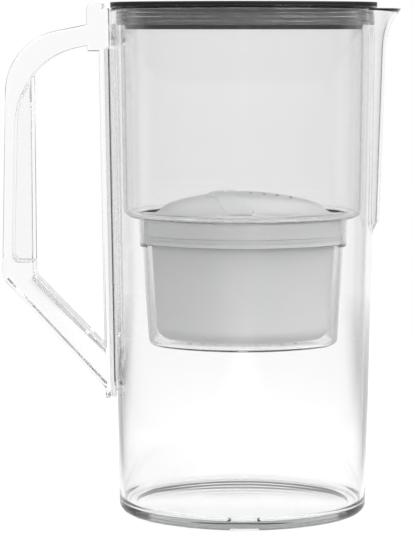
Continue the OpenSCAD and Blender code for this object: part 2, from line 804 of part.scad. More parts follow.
module dial_cap() {
    color([0.2, 0.2, 0.21]) translate([dial_x, 0, dial_floor_z + boss_h]) {
        cylinder(r = cap_disc_r, h = cap_disc_t);
        translate([0, 0, -cap_stem_h]) cylinder(r = boss_bore_r - press_gap, h = cap_stem_h);
    }
}

jug_body();
handle();
reservoir();
cartridge_cup();
cartridge_cap();
cartridge_seal();
top_screen();
bottom_screen();
top_fleece();
bottom_fleece();
filter_granules();
lid_shell();
lid_seal();
fill_flap();
flap_hinge_pin();
change_dial();
dial_cap();
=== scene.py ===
# Water filter pitcher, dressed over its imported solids: clear jug, slide-on handle, hanging reservoir,
# filter cartridge, and a dark lid with a fill flap and a change dial. Sizes are in millimetres.

from math import acos, atan2, cos, degrees, hypot, pi, radians, sin, sqrt, tan

import bmesh
import bpy
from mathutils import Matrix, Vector, noise
from mathutils.geometry import intersect_line_line_2d


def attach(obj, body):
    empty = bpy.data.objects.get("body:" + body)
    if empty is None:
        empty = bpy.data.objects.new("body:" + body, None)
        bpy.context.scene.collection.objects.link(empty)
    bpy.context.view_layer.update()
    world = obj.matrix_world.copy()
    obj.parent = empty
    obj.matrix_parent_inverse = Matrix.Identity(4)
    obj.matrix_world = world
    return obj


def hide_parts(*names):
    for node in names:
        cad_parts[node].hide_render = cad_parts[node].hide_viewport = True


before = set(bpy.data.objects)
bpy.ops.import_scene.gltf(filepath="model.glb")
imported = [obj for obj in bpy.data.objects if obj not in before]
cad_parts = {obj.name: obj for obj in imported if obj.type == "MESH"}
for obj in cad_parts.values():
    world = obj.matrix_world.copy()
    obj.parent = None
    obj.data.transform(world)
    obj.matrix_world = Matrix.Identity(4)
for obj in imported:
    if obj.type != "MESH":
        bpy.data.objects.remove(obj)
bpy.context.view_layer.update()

# Jug body
# One clear moulding of styrene acrylonitrile, a hard and glassy plastic: an oval wall that leans out to
# the rim, a floor on a low foot rim, a pouring channel up one end and a dovetail rail at the other.
MM = 0.001
JUG_HALF_W = 66.4
JUG_HALF_D = 53.0
JUG_LEAN = 3.5
JUG_WALL = 2.4
JUG_FLOOR_Z = 4.6
JUG_EDGE_R = 4.0
FOOT_RECESS = 1.6
FOOT_RIM_W = 5.0
RIM_Z = 267.4
RIM_R = 0.9
LEAN_ANGLE = atan2(JUG_LEAN, RIM_Z)

CHANNEL_R = 17.0
CHANNEL_X = 57.6
CHANNEL_DRAW_IN = 2.3
FLARE_Z = RIM_Z - 22.4
FLARE_BEND_R = 35.0
ROOT_Z = FLARE_Z - 100.0
ROOT_H = 11.0
ROOT_IN = 8.0
CHANNEL_BLEND = 4.0

NOTCH_W = 17.0

END_STEPS = 64
SIDE_STEPS = 44
EDGE_STEPS = 8
ROW_MARGIN = 4.0


def oval(half_w, half_d):
    """Points and outward directions round four arcs on a 3-4-5 triangle, so that they meet in line."""
    step = (half_w - half_d) / 2
    end_r = half_d - step
    side_r = end_r + 5 * step
    meet = atan2(4, 3)
    arcs = (
        ((3 * step, 0), end_r, -meet, meet, END_STEPS),
        ((0, -4 * step), side_r, meet, pi - meet, SIDE_STEPS),
        ((-3 * step, 0), end_r, pi - meet, pi + meet, END_STEPS),
        ((0, 4 * step), side_r, pi + meet, 2 * pi - meet, SIDE_STEPS),
    )
    rows = []
    for centre, r, start, end, count in arcs:
        for i in range(count):
            a = start + (end - start) * i / count
            out = Vector((cos(a), sin(a)))
            rows.append((Vector(centre) + r * out, out))
    return rows


def ring(rows, offset, z):
    """One loop of points, each moved out by an offset that is a number or a function of its row."""
    loop = []
    for row in rows:
        point = row[0] + row[1] * (offset(row) if callable(offset) else offset)
        loop.append((point.x, point.y, z))
    return loop


def arc(centre, r, start, end, steps=EDGE_STEPS):
    """Points along an arc, with its angles in degrees."""
    turns = [radians(start + (end - start) * i / steps) for i in range(steps + 1)]
    return [(centre[0] + r * cos(a), centre[1] + r * sin(a)) for a in turns]


def spread(low, high, count):
    """Even steps from low up to, but not with, high."""
    return [low + (high - low) * i / count for i in range(count)]


def as_piece(name, bm):
    """Turns a bmesh into an object."""
    bmesh.ops.recalc_face_normals(bm, faces=bm.faces[:])
    mesh = bpy.data.meshes.new(name)
    bm.to_mesh(mesh)
    bm.free()
    piece = bpy.data.objects.new(name, mesh)
    bpy.context.scene.collection.objects.link(piece)
    return piece


def skin(bm, loops, closed):
    """Quads between loops of as many points. Open ends are capped flat."""
    rows = [[bm.verts.new(Vector(p) * MM) for p in loop] for loop in loops]
    pairs = list(zip(rows, rows[1:]))
    if closed:
        pairs.append((rows[-1], rows[0]))
    for low, high in pairs:
        for i in range(len(low)):
            j = (i + 1) % len(low)
            bm.faces.new((low[i], low[j], high[j], high[i]))
    if not closed:
        bm.faces.new(rows[0])
        bm.faces.new(rows[-1])


def loft(name, loops, closed=False):
    bm = bmesh.new()
    skin(bm, loops, closed)
    return as_piece(name, bm)


def extrude(name, outline, low, high, place):
    """A prism of an outline, whose points and ends are put in place by a function."""
    loops = [[place(u, v, w) for u, v in outline] for w in (low, high)]
    return loft(name, loops)


def settle(piece):
    """Applies a piece's modifiers to its mesh."""
    bpy.context.view_layer.update()
    graph = bpy.context.evaluated_depsgraph_get()
    mesh = bpy.data.meshes.new_from_object(piece.evaluated_get(graph))
    piece.modifiers.clear()
    piece.data = mesh


def combine(piece, other, how):
    """Joins another piece to this one, or cuts it away."""
    step = piece.modifiers.new("combine", "BOOLEAN")
    step.operation = how
    step.solver = "EXACT"
    step.object = other
    settle(piece)
    bpy.data.objects.remove(other)


def soften(piece, width, steps=2, limit=35):
    """Rounds the sharp edges, as a mould does."""
    step = piece.modifiers.new("soften", "BEVEL")
    step.width = width * MM
    step.segments = steps
    step.limit_method = "ANGLE"
    step.angle_limit = radians(limit)
    step.use_clamp_overlap = True
    settle(piece)


def smooth(piece, limit=32):
    piece.data.shade_smooth()
    piece.data.set_sharp_from_angle(angle=radians(limit))


def soft_max(a, b, reach):
    """The larger of two numbers, blended where they are closer than reach."""
    near = max(reach - abs(a - b), 0) / reach
    return max(a, b) + near * near * reach / 4


def channel_r(z, inset):
    """Radius of the pouring channel: a tapered root, a long cone and a flare at the rim."""
    low_r = CHANNEL_R - CHANNEL_DRAW_IN - inset
    cone_z = ROOT_Z + ROOT_H
    if z < ROOT_Z:
        return 0
    if z < cone_z:
        return low_r - ROOT_IN * (cone_z - z) / ROOT_H
    if z < FLARE_Z:
        return low_r + CHANNEL_DRAW_IN * (z - cone_z) / (FLARE_Z - cone_z)
    return CHANNEL_R + FLARE_BEND_R - sqrt((FLARE_BEND_R + inset) ** 2 - (z - FLARE_Z) ** 2)


def lean_at(z):
    return JUG_LEAN * z / RIM_Z


def wall_at(z, inset, back=0.0):
    """Offset of the jug's face from the foot oval: the wall, or the channel where it stands out more."""
    wall = lean_at(z) - inset
    r = channel_r(z, inset)

    def offset(row):
        from_axis = row[0] - Vector((CHANNEL_X, 0))
        along = from_axis.dot(row[1])
        under = along * along - from_axis.length_squared + r * r
        if r <= 0 or under <= 0:
            return wall - back
        return soft_max(wall, sqrt(under) - along, CHANNEL_BLEND) - back

    return offset


def on_wall(u, v, w):
    """A place along the jug's wall behind the handle: u out of the wall, v across it, w up it."""
    x = -JUG_HALF_W + u * cos(LEAN_ANGLE) - w * sin(LEAN_ANGLE)
    return x, v, u * sin(LEAN_ANGLE) + w * cos(LEAN_ANGLE)


jug_oval = oval(JUG_HALF_W, JUG_HALF_D)
root_low = ROOT_Z - ROW_MARGIN
root_high = ROOT_Z + ROOT_H + 2 * ROW_MARGIN
flare_low = FLARE_Z - ROW_MARGIN
wall_heights = (
    spread(JUG_EDGE_R, root_low, 14)
    + spread(root_low, root_high, 30)
    + spread(root_high, flare_low, 10)
    + spread(flare_low, RIM_Z - RIM_R, 18)
)
foot_d = -JUG_EDGE_R - FOOT_RIM_W
edge_c = (lean_at(JUG_EDGE_R) - JUG_EDGE_R, JUG_EDGE_R)
floor_c = (lean_at(JUG_FLOOR_Z + JUG_EDGE_R) - JUG_WALL - JUG_EDGE_R, JUG_FLOOR_Z + JUG_EDGE_R)
rim_turn = arc((0, 0), RIM_R, 0, 90, 4)

jug_loops = [ring(jug_oval, foot_d, FOOT_RECESS), ring(jug_oval, foot_d, 0)]
jug_loops += [ring(jug_oval, d, z) for d, z in arc(edge_c, JUG_EDGE_R, -90, 0)[:-1]]
jug_loops += [ring(jug_oval, wall_at(z, 0), z) for z in wall_heights]
for out, up in rim_turn:
    z = RIM_Z - RIM_R + up
    jug_loops.append(ring(jug_oval, wall_at(z, 0, RIM_R - out), z))
for out, up in reversed(rim_turn):
    z = RIM_Z - RIM_R + up
    jug_loops.append(ring(jug_oval, wall_at(z, JUG_WALL, out - RIM_R), z))
inner_heights = [z for z in reversed(wall_heights) if z > floor_c[1] + 1]
jug_loops += [ring(jug_oval, wall_at(z, JUG_WALL), z) for z in inner_heights]
jug_loops += [ring(jug_oval, d, z) for d, z in reversed(arc(floor_c, JUG_EDGE_R, -90, 0))]
jug = loft("jug_wall", jug_loops)

# The dovetail rail that the handle slides down, and the drain notch in the front of the foot rim.
RAIL_W = 17.0
RAIL_H = 3.0
RAIL_SINK = 1.2
RAIL_UNDERCUT = 2.2
RAIL_LEN = 176.0
HEAD_H = 21.0
RAIL_TOP = RIM_Z - HEAD_H
CUT = 1.0


def rail_section(gap):
    half = RAIL_W / 2 + gap
    root = half - RAIL_UNDERCUT * (RAIL_H + RAIL_SINK) / RAIL_H
    return [(RAIL_SINK, -root), (RAIL_SINK, root), (-RAIL_H - gap, half), (-RAIL_H - gap, -half)]


rail = extrude("rail", rail_section(0), RAIL_TOP - RAIL_LEN, RAIL_TOP, on_wall)
combine(jug, rail, "UNION")
notch_outline = [
    (-NOTCH_W / 2 - CUT, -CUT), (NOTCH_W / 2 + CUT, -CUT),
    (NOTCH_W / 2 - FOOT_RECESS, FOOT_RECESS), (-NOTCH_W / 2 + FOOT_RECESS, FOOT_RECESS),
]
notch = extrude("notch", notch_outline, -1.5 * JUG_HALF_D, -JUG_HALF_D / 2, lambda u, v, w: (u, w, v))
combine(jug, notch, "DIFFERENCE")
smooth(jug)


def linear(code):
    """A colour from its sRGB hex code."""
    parts = [int(code[i:i + 2], 16) / 255 for i in (1, 3, 5)]
    return (*[p / 12.92 if p <= 0.04045 else ((p + 0.055) / 1.055) ** 2.4 for p in parts], 1)


def add(tree, kind, inputs=(), **settings):
    """Adds a node with its settings, and sets or links its inputs."""
    node = tree.nodes.new(kind)
    for name, value in settings.items():
        setattr(node, name, value)
    for name, value in dict(inputs).items():
        if isinstance(value, bpy.types.NodeSocket):
            tree.links.new(value, node.inputs[name])
        else:
            node.inputs[name].default_value = value
    return node


def start_material(name):
    material = bpy.data.materials.new(name)
    material.use_nodes = True
    material.node_tree.nodes.clear()
    return material, material.node_tree


# Clear SAN, injection moulded and polished: it bends light as crown glass does, a little ripple from the
# mould shows in what is seen through it, and its long edges look grey because it takes up some light.
SAN_IOR = 1.57
SAN_RIPPLE_MM = 30.0
SAN_RIPPLE_STRENGTH = 0.012
CLEAR_HAZE = (0.0, 0.03)
CLEAR_DYE = "#cdcfcf"
JUG_DYE_STRENGTH = 22.0


def see_through(name, haze, dye, strength):
    """A moulded glassy plastic, with the least and most of its roughness, and a dye and its strength."""
    material, tree = start_material(name)
    place = add(tree, "ShaderNodeTexCoord").outputs["Object"]
    ripple = add(tree, "ShaderNodeTexNoise", {
        "Vector": place, "Scale": 1 / (SAN_RIPPLE_MM * MM), "Detail": 1.0,
    }).outputs["Fac"]
    bump = add(tree, "ShaderNodeBump", {
        "Height": ripple, "Strength": SAN_RIPPLE_STRENGTH, "Distance": 2 * MM,
    })
    polish = add(tree, "ShaderNodeMapRange", {"Value": ripple, "To Min": haze[0], "To Max": haze[1]})
    san = add(tree, "ShaderNodeBsdfPrincipled", {
        "Base Color": linear("#ffffff"), "Roughness": polish.outputs["Result"], "IOR": SAN_IOR,
        "Specular Tint": linear("#cccccc"), "Transmission Weight": 1.0, "Normal": bump.outputs["Normal"],
    })
    tint = add(tree, "ShaderNodeVolumeAbsorption", {"Color": linear(dye), "Density": strength})
    add(tree, "ShaderNodeOutputMaterial", {
        "Surface": san.outputs["BSDF"], "Volume": tint.outputs["Volume"],
    })
    return material


jug.data.materials.append(see_through("clear_san", CLEAR_HAZE, CLEAR_DYE, JUG_DYE_STRENGTH))
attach(jug, "jug")
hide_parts("jug_body")

# Handle
# A second moulding of the same plastic, water clear, slid down the rail until its head meets the rail's
# top. A solid arm bends down into the grip, which is a channel open towards the jug, and a solid lower
# arm runs back to the spine.
HANDLE_REACH = 127.2
HANDLE_W = 26.0
GRIP_T = 16.5
GRIP_WEB = 5.0
GRIP_SIDE = 3.0
GRIP_LOW_Z = 126.4
ARM_TOP_Z = RIM_Z - 16.8
ARM_FALL = 10.0
TOP_ARM_T = 11.3
LOW_ARM_Z = 66.3
LOW_ARM_T = 19.6
OUTER_BEND_R = 33.0
INNER_BEND_R = 41.0
LOW_BEND_R = 8.0
SPINE_T = 5.8
SPINE_FOOT = 4.0
HEAD_OUT = 6.2
HEAD_RISE = 2.6
HEAD_R = 3.0
HANDLE_EDGE_R = 2.0
WALL_EDGE_R = 1.2
SLIDE_GAP = 0.2
HANDLE_DYE_STRENGTH = 1.0


def corner(before, at, after, r, steps):
    """Points round a corner of radius r."""
    a, p, b = Vector(before), Vector(at), Vector(after)
    u, w = (a - p).normalized(), (b - p).normalized()
    half = acos(max(-1, min(1, u.dot(w)))) / 2
    centre = p + (u + w).normalized() * r / sin(half)
    first = p + u * r / tan(half) - centre
    last = p + w * r / tan(half) - centre
    start = atan2(first.y, first.x)
    turn = (atan2(last.y, last.x) - start + pi) % (2 * pi) - pi
    angles = [start + turn * i / steps for i in range(steps + 1)]
    return [(centre.x + r * cos(t), centre.y + r * sin(t)) for t in angles]


def rounded(points, steps=20):
    """A closed outline whose points are (x, y, corner radius)."""
    outline = []
    for i, (x, y, r) in enumerate(points):
        if r == 0:
            outline.append((x, y))
        else:
            after = points[(i + 1) % len(points)]
            outline += corner(points[i - 1][:2], (x, y), after[:2], r, steps)
    return outline


def across(u, v, w):
    """A place in the handle's side view, u along X and v up, at w across the jug."""
    return u, w, v


def shrunk(outline, by):
    """A closed outline with each of its sides moved in."""
    points = [Vector(p) for p in outline]
    area = sum(a.x * b.y - a.y * b.x for a, b in zip(points, points[1:] + points[:1]))
    turn = 1 if area > 0 else -1
    moved = []
    for i, p in enumerate(points):
        a = (p - points[i - 1]).normalized()
        b = (points[(i + 1) % len(points)] - p).normalized()
        inward = turn * Vector((-a.y - b.y, a.x + b.x))
        moved.append(p + inward * by / (1 + a.dot(b)))
    return moved


def slab(name, outline, width, r, past=0):
    """A piece of the handle's side view, with round rims, or flared ones where it runs past to cut."""
    turns = spread(0, pi / 2, 6) + [pi / 2]
    rim = [(r * (1 - sin(a)), width / 2 - r * (1 - cos(a))) for a in turns]
    if past:
        rim = [(-r, width / 2 + past)] + [(-by, w) for by, w in rim]
    ends = [(by, -w) for by, w in rim] + [(by, w) for by, w in reversed(rim)]
    return loft(name, [[across(u, v, w) for u, v in shrunk(outline, by)] for by, w in ends])


def up_wall(u, w):
    """A place in the side view, u out of the jug's wall and w up it."""
    x, y, z = on_wall(u, 0, w)
    return Vector((x, z))


spine_mid = (SPINE_T + RAIL_H + SLIDE_GAP) / 2
root_x = -JUG_HALF_W - JUG_LEAN - spine_mid
low_root_x = -JUG_HALF_W - lean_at(LOW_ARM_Z) - spine_mid
web_x = -HANDLE_REACH + GRIP_WEB
mouth_x = -HANDLE_REACH + GRIP_T
channel_low_z = GRIP_LOW_Z + LOW_BEND_R
outer_x = -HANDLE_REACH + JUG_LEAN
under_x = web_x + JUG_LEAN
under_arm_z = ARM_TOP_Z + ARM_FALL - TOP_ARM_T
under_root = Vector((root_x, under_arm_z))
under_corner = Vector((under_x, under_arm_z - ARM_FALL * (root_x - under_x) / (root_x - outer_x)))
along_arm = (under_root - under_corner).normalized()
down_grip = (Vector((web_x, channel_low_z)) - under_corner).normalized()
half_turn = along_arm.angle(down_grip) / 2
bend_c = under_corner + (along_arm + down_grip).normalized() * INNER_BEND_R / sin(half_turn)

arm_top = (Vector((root_x, ARM_TOP_Z + ARM_FALL)), Vector((outer_x, ARM_TOP_Z)))
arm_under = (under_root, under_corner)
low_under = (Vector((low_root_x, LOW_ARM_Z)), Vector((-HANDLE_REACH, GRIP_LOW_Z)))
low_top = (Vector((low_root_x, LOW_ARM_Z + LOW_ARM_T)), Vector((mouth_x, GRIP_LOW_Z)))
foot_w = LOW_ARM_Z - SPINE_FOOT
head_top = RIM_Z + HEAD_RISE
head_u = -SPINE_T - HEAD_OUT
slot_u = -SLIDE_GAP - RAIL_H
head_face = (up_wall(head_u, RAIL_TOP - CUT), up_wall(head_u, head_top))
spine_face = (up_wall(-SPINE_T, foot_w), up_wall(-SPINE_T, RAIL_TOP - CUT))
outside = rounded([
    (*up_wall(-SLIDE_GAP, foot_w), 0),
    (*up_wall(-SLIDE_GAP, RIM_Z), 0),
    (*up_wall(slot_u, RIM_Z), 0),
    (*up_wall(slot_u, head_top), 0),
    (*head_face[1], HEAD_R),
    (*intersect_line_line_2d(*head_face, *arm_top), 0),
    (*arm_top[1], OUTER_BEND_R),
    (*low_under[1], LOW_BEND_R),
    (*intersect_line_line_2d(*spine_face, *low_under), 0),
    (*spine_face[0], 0),
])
arm_turn = 90 + degrees(atan2(along_arm.y, along_arm.x))
mouth_turn = degrees(acos((mouth_x - bend_c.x) / INNER_BEND_R))
bend = arc(bend_c, INNER_BEND_R, mouth_turn, arm_turn, 20)
finger_hole = rounded([
    (*intersect_line_line_2d(*head_face, *arm_under), 0),
    (*head_face[0], 0),
    (*spine_face[1], 0),
    (*intersect_line_line_2d(*spine_face, *low_top), 0),
    (*low_top[1], LOW_BEND_R / 2),
    *[(x, z, 0) for x, z in bend],
])
web_turn = 90 + degrees(atan2(-down_grip.y, -down_grip.x))
groove = [(mouth_x + 2 * CUT, channel_low_z)]
groove += corner(groove[0], (web_x, channel_low_z), under_corner, LOW_BEND_R / 2, 8)
groove += arc(bend_c, INNER_BEND_R, web_turn, mouth_turn, 20)
groove += [(mouth_x + 2 * CUT, bend[0][1])]

handle = slab("handle_moulding", outside, HANDLE_W, HANDLE_EDGE_R)
combine(handle, slab("finger_hole", finger_hole, HANDLE_W, WALL_EDGE_R, CUT), "DIFFERENCE")
groove_half = HANDLE_W / 2 - GRIP_SIDE
combine(handle, extrude("groove", groove, -groove_half, groove_half, across), "DIFFERENCE")
combine(handle, extrude("slot", rail_section(SLIDE_GAP), 0, RAIL_TOP, on_wall), "DIFFERENCE")
smooth(handle, 40)
water_clear = see_through("water_clear_san", CLEAR_HAZE, CLEAR_DYE, HANDLE_DYE_STRENGTH)
handle.data.materials.append(water_clear)
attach(handle, "jug")
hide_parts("handle")

# Reservoir
# A pale grey, see-through tub of the same plastic that hangs from the jug's rim by its lip. A ribbed
# ring centres it under the lip, and a stepped well in its floor takes the cartridge.
LID_PLATE_Z = 268.4
RING_H = 8.6
RING_Z = RIM_Z - RING_H
RIB_COUNT = 4
RIB_OUT = 0.6
RIB_STEPS = 8
RIB_TROUGH = 0.3
LIFT_GAP = 0.4
RES_WALL = 1.8
RES_GAP = 2.9
RES_DRAW_IN = 1.0
RES_EDGE_R = 5.0
RES_FLOOR_Z = RIM_Z - 109.0
WELL_HALF_W = 53.4
WELL_HALF_D = 34.0
WELL_Z = RES_FLOOR_Z - 69.0
WELL_DRAW_IN = 3.0
WELL_EDGE_R = 4.0
BAND_Z = RES_FLOOR_Z - 15.6
BAND_OUT = 1.6
BAND_FLARE = 0.8
OUTLET_R = 4.0
FLAT_EDGE = 0.8

well_oval = oval(WELL_HALF_W, WELL_HALF_D)
outlet = [(Vector((0, 0)), out) for point, out in well_oval]
lip_d = lean_at(RIM_Z)
ring_d = lean_at(RING_Z) - JUG_WALL - LIFT_GAP
res_top_d = lean_at(RING_Z) - JUG_WALL - RES_GAP
res_low_d = res_top_d - RES_DRAW_IN
res_c = (res_low_d - RES_EDGE_R, RES_FLOOR_Z + RES_EDGE_R)
well_c = (-WELL_DRAW_IN - WELL_EDGE_R, WELL_Z + WELL_EDGE_R)
ledge_z = BAND_Z + RES_WALL
floor_top_z = RES_FLOOR_Z + RES_WALL
well_floor_z = WELL_Z + RES_WALL
well_flat_d = well_c[0] - FLAT_EDGE
band_in_d = BAND_OUT - RES_WALL
ring_in_d = ring_d - RIB_OUT - RES_WALL

rib_loops = []
for i in range(RIB_COUNT * RIB_STEPS):
    swell = max(sin(2 * pi * (i + 0.5) / RIB_STEPS), -RIB_TROUGH)
    d = ring_d - RIB_OUT + RIB_OUT * (swell + RIB_TROUGH) / (1 + RIB_TROUGH)
    rib_loops.append(ring(jug_oval, d, RIM_Z - RING_H * (i + 0.5) / (RIB_COUNT * RIB_STEPS)))

# A narrow row beside each bend keeps the flat floors flat to the eye.
tub_loops = [ring(jug_oval, lip_d, LID_PLATE_Z), ring(jug_oval, lip_d, RIM_Z)]
tub_loops += [ring(jug_oval, ring_d - RIB_OUT, RIM_Z), *rib_loops]
tub_loops += [ring(jug_oval, ring_d - RIB_OUT, RING_Z), ring(jug_oval, res_top_d, RING_Z)]
tub_loops += [ring(jug_oval, d, z) for d, z in reversed(arc(res_c, RES_EDGE_R, -90, 0))]
tub_loops += [ring(jug_oval, res_c[0] - FLAT_EDGE, RES_FLOOR_Z)]
tub_loops += [ring(well_oval, BAND_OUT + BAND_FLARE + FLAT_EDGE, RES_FLOOR_Z)]
tub_loops += [ring(well_oval, BAND_OUT + BAND_FLARE, RES_FLOOR_Z), ring(well_oval, BAND_OUT, BAND_Z)]
tub_loops += [ring(well_oval, 0, BAND_Z)]
tub_loops += [ring(well_oval, d, z) for d, z in reversed(arc(well_c, WELL_EDGE_R, -90, 0))]
tub_loops += [ring(well_oval, well_flat_d, WELL_Z), ring(outlet, OUTLET_R + FLAT_EDGE, WELL_Z)]
tub_loops += [ring(outlet, OUTLET_R, z) for z in (WELL_Z, well_floor_z)]
tub_loops += [ring(outlet, OUTLET_R + FLAT_EDGE, well_floor_z)]
tub_loops += [ring(well_oval, well_flat_d, well_floor_z)]
tub_loops += [ring(well_oval, d, z) for d, z in arc(well_c, WELL_EDGE_R - RES_WALL, -90, 0)]
tub_loops += [ring(well_oval, -RES_WALL, ledge_z), ring(well_oval, band_in_d, ledge_z)]
tub_loops += [ring(well_oval, band_in_d + BAND_FLARE, floor_top_z)]
tub_loops += [ring(well_oval, band_in_d + BAND_FLARE + FLAT_EDGE, floor_top_z)]
tub_loops += [ring(jug_oval, res_c[0] - FLAT_EDGE, floor_top_z)]
tub_loops += [ring(jug_oval, d, z) for d, z in arc(res_c, RES_EDGE_R - RES_WALL, -90, 0)]
tub_loops += [ring(jug_oval, res_top_d - RES_WALL, RING_Z + RES_WALL)]
tub_loops += [ring(jug_oval, ring_in_d, RING_Z + RES_WALL), ring(jug_oval, ring_in_d, LID_PLATE_Z)]
tub = loft("reservoir_tub", tub_loops, closed=True)
soften(tub, 0.35)
smooth(tub)

# Pale grey SAN: the same moulding plastic with a little grey in it.
RES_DYE = "#b5b6b7"
RES_DYE_STRENGTH = 36.0
pale_san = see_through("pale_grey_san", (0.02, 0.06), RES_DYE, RES_DYE_STRENGTH)

# The ribs of its ring are left frosted by the mould, so they catch a little light.
FROST_MM = 0.6
frosted, tree = start_material("frosted_grey_san")
place = add(tree, "ShaderNodeTexCoord").outputs["Object"]
frost = add(tree, "ShaderNodeTexNoise", {"Vector": place, "Scale": 1 / (FROST_MM * MM), "Detail": 2.0})
etch = add(tree, "ShaderNodeBump", {"Height": frost.outputs["Fac"], "Strength": 0.1, "Distance": 0.0002})
haze = add(tree, "ShaderNodeMapRange", {"Value": frost.outputs["Fac"], "To Min": 0.05, "To Max": 0.16})
san = add(tree, "ShaderNodeBsdfPrincipled", {
    "Base Color": linear("#f4f5f6"), "Roughness": haze.outputs["Result"], "IOR": SAN_IOR,
    "Transmission Weight": 0.86, "Normal": etch.outputs["Normal"],
})
dye = add(tree, "ShaderNodeVolumeAbsorption", {"Color": linear(RES_DYE), "Density": RES_DYE_STRENGTH})
add(tree, "ShaderNodeOutputMaterial", {"Surface": san.outputs["BSDF"], "Volume": dye.outputs["Volume"]})

tub.data.materials.append(pale_san)
tub.data.materials.append(frosted)
for face in tub.data.polygons:
    outward = face.normal.x * face.center.x + face.normal.y * face.center.y > 0
    if outward and RING_Z * MM < face.center.z < RIM_Z * MM:
        face.material_index = 1
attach(tub, "reservoir")
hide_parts("reservoir")

# Cartridge cup
# White polypropylene, moulded thin: a tapered cup that hangs by its flange on the ledge of the well.
# Water leaves through the slots in its floor.
CUP_D = -5.0
CUP_WALL = 1.5
CUP_DRAW_IN = 2.6
CUP_EDGE_R = 8.0
CUP_STAND = 1.4
FLANGE_D = -0.6
FLANGE_T = 2.0
SLOT_COUNT = 9
SLOT_PITCH = 7.0
SLOT_LEN = 30.0
SLOT_W = 2.0
SLOT_RIM = 2.0


def blocks(name, spots, size, low, high):
    """Upright boxes of one size as a single object, to cut slots with."""
    bm = bmesh.new()
    half_w, half_d = size[0] / 2, size[1] / 2
    signs = ((-1, -1), (1, -1), (1, 1), (-1, 1))
    for x, y in spots:
        around = [(x + u * half_w, y + v * half_d) for u, v in signs]
        skin(bm, [[(u, v, z) for u, v in around] for z in (low, high)], False)
    return as_piece(name, bm)


def slots_within(d, low, high):
    """The row of slots, kept inside the rim of an oval of offset d."""
    spots = [((i - (SLOT_COUNT - 1) / 2) * SLOT_PITCH, 0) for i in range(SLOT_COUNT)]
    row = blocks("slots", spots, (SLOT_W, SLOT_LEN), low - CUT, high + CUT)
    inside = loft("inside", [ring(well_oval, d - SLOT_RIM, z) for z in (low - 2 * CUT, high + 2 * CUT)])
    combine(row, inside, "INTERSECT")
    return row


cup_z = well_floor_z + CUP_STAND
cup_c = (CUP_D - CUP_DRAW_IN - CUP_EDGE_R, cup_z + CUP_EDGE_R)
floor_d = cup_c[0]
flange_z = ledge_z + FLANGE_T
cup_in_d = CUP_D - CUP_WALL
cup_profile = arc(cup_c, CUP_EDGE_R, -90, 0)
cup_profile += [(CUP_D, ledge_z), (FLANGE_D, ledge_z), (FLANGE_D, flange_z)]
cup_profile += [(cup_in_d, flange_z), (cup_in_d, ledge_z)]
cup_profile += reversed(arc(cup_c, CUP_EDGE_R - CUP_WALL, -90, 0))
cup = loft("cup", [ring(well_oval, d, z) for d, z in cup_profile])
combine(cup, slots_within(floor_d, cup_z, cup_z + CUP_WALL), "DIFFERENCE")
soften(cup, 0.3)
smooth(cup)

# White polypropylene: satin, with a fine moulded grain and a faint warm and cool drift in its white.
PP_DRIFT_MM = 25.0
PP_GRAIN_MM = 0.5
white_pp, tree = start_material("white_polypropylene")
place = add(tree, "ShaderNodeTexCoord").outputs["Object"]
drift = add(tree, "ShaderNodeTexNoise", {
    "Vector": place, "Scale": 1 / (PP_DRIFT_MM * MM), "Detail": 2.0,
})
grain = add(tree, "ShaderNodeTexNoise", {
    "Vector": place, "Scale": 1 / (PP_GRAIN_MM * MM), "Detail": 2.0,
})
white = add(tree, "ShaderNodeMix", {
    "Factor": drift.outputs["Fac"], "A": linear("#ececea"), "B": linear("#e5e6e7"),
}, data_type="RGBA")
satin = add(tree, "ShaderNodeMapRange", {"Value": grain.outputs["Fac"], "To Min": 0.36, "To Max": 0.5})
bump = add(tree, "ShaderNodeBump", {
    "Height": grain.outputs["Fac"], "Strength": 0.12, "Distance": 0.2 * MM,
})
shell = add(tree, "ShaderNodeBsdfPrincipled", {
    "Base Color": white.outputs["Result"], "Roughness": satin.outputs["Result"], "IOR": 1.49,
    "Subsurface Weight": 0.1, "Subsurface Radius": (1.0, 0.9, 0.85), "Subsurface Scale": 2 * MM,
    "Normal": bump.outputs["Normal"],
})
add(tree, "ShaderNodeOutputMaterial", {"Surface": shell.outputs["BSDF"]})

cup.data.materials.append(white_pp)
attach(cup, "cartridge")
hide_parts("cartridge_cup")

# Cartridge cap
# The same polypropylene, pressed into the cup by its spigot. A collar fills the top of the well, and the
# flat dome over it has a raised curved band to grip it by, and slots where the water goes in.
CAP_T = 1.5
CAP_D = -5.0
INNER_GAP = 0.2
SPIGOT_H = 4.0
SHOULDER_H = 15.0
SHOULDER_IN = 5.2
SHOULDER_SLOPE = 0.75
COLLAR_FALL = 4.2
COLLAR_R = 1.2
COLLAR_STEP = 0.3
SEAL_H = 2.6
DOME_H = 24.4
DOME_R = 134.0
DOME_BLEND = 2.5
DOME_FLAT_D = -22.0
GRIP_R = 28.7
GRIP_W = 8.5
GRIP_H = 0.9
GRIP_EDGE_R = 0.5
GRIP_SINK = 0.9
GRIP_TURN = 140.0
CAP_SLOTS = 4
CAP_SLOT_LEN = 15.0

shoulder_z = flange_z + SHOULDER_H
shoulder_d = CAP_D - SHOULDER_IN
FALL_SLOPE = COLLAR_FALL / (FLANGE_D - shoulder_d)
seal_top = flange_z + SEAL_H
dome_top = flange_z + DOME_H
spigot_d = cup_in_d - INNER_GAP
spigot_z = flange_z - SPIGOT_H
grip_x = GRIP_R / 2


def well_offset(x, y):
    """How far a point lies outside the well's oval."""
    step = (WELL_HALF_W - WELL_HALF_D) / 2
    end_r = WELL_HALF_D - step
    if 3 * abs(y) < 4 * (abs(x) - 3 * step):
        return hypot(abs(x) - 3 * step, y) - end_r
    return hypot(x, abs(y) + 4 * step) - end_r - 5 * step


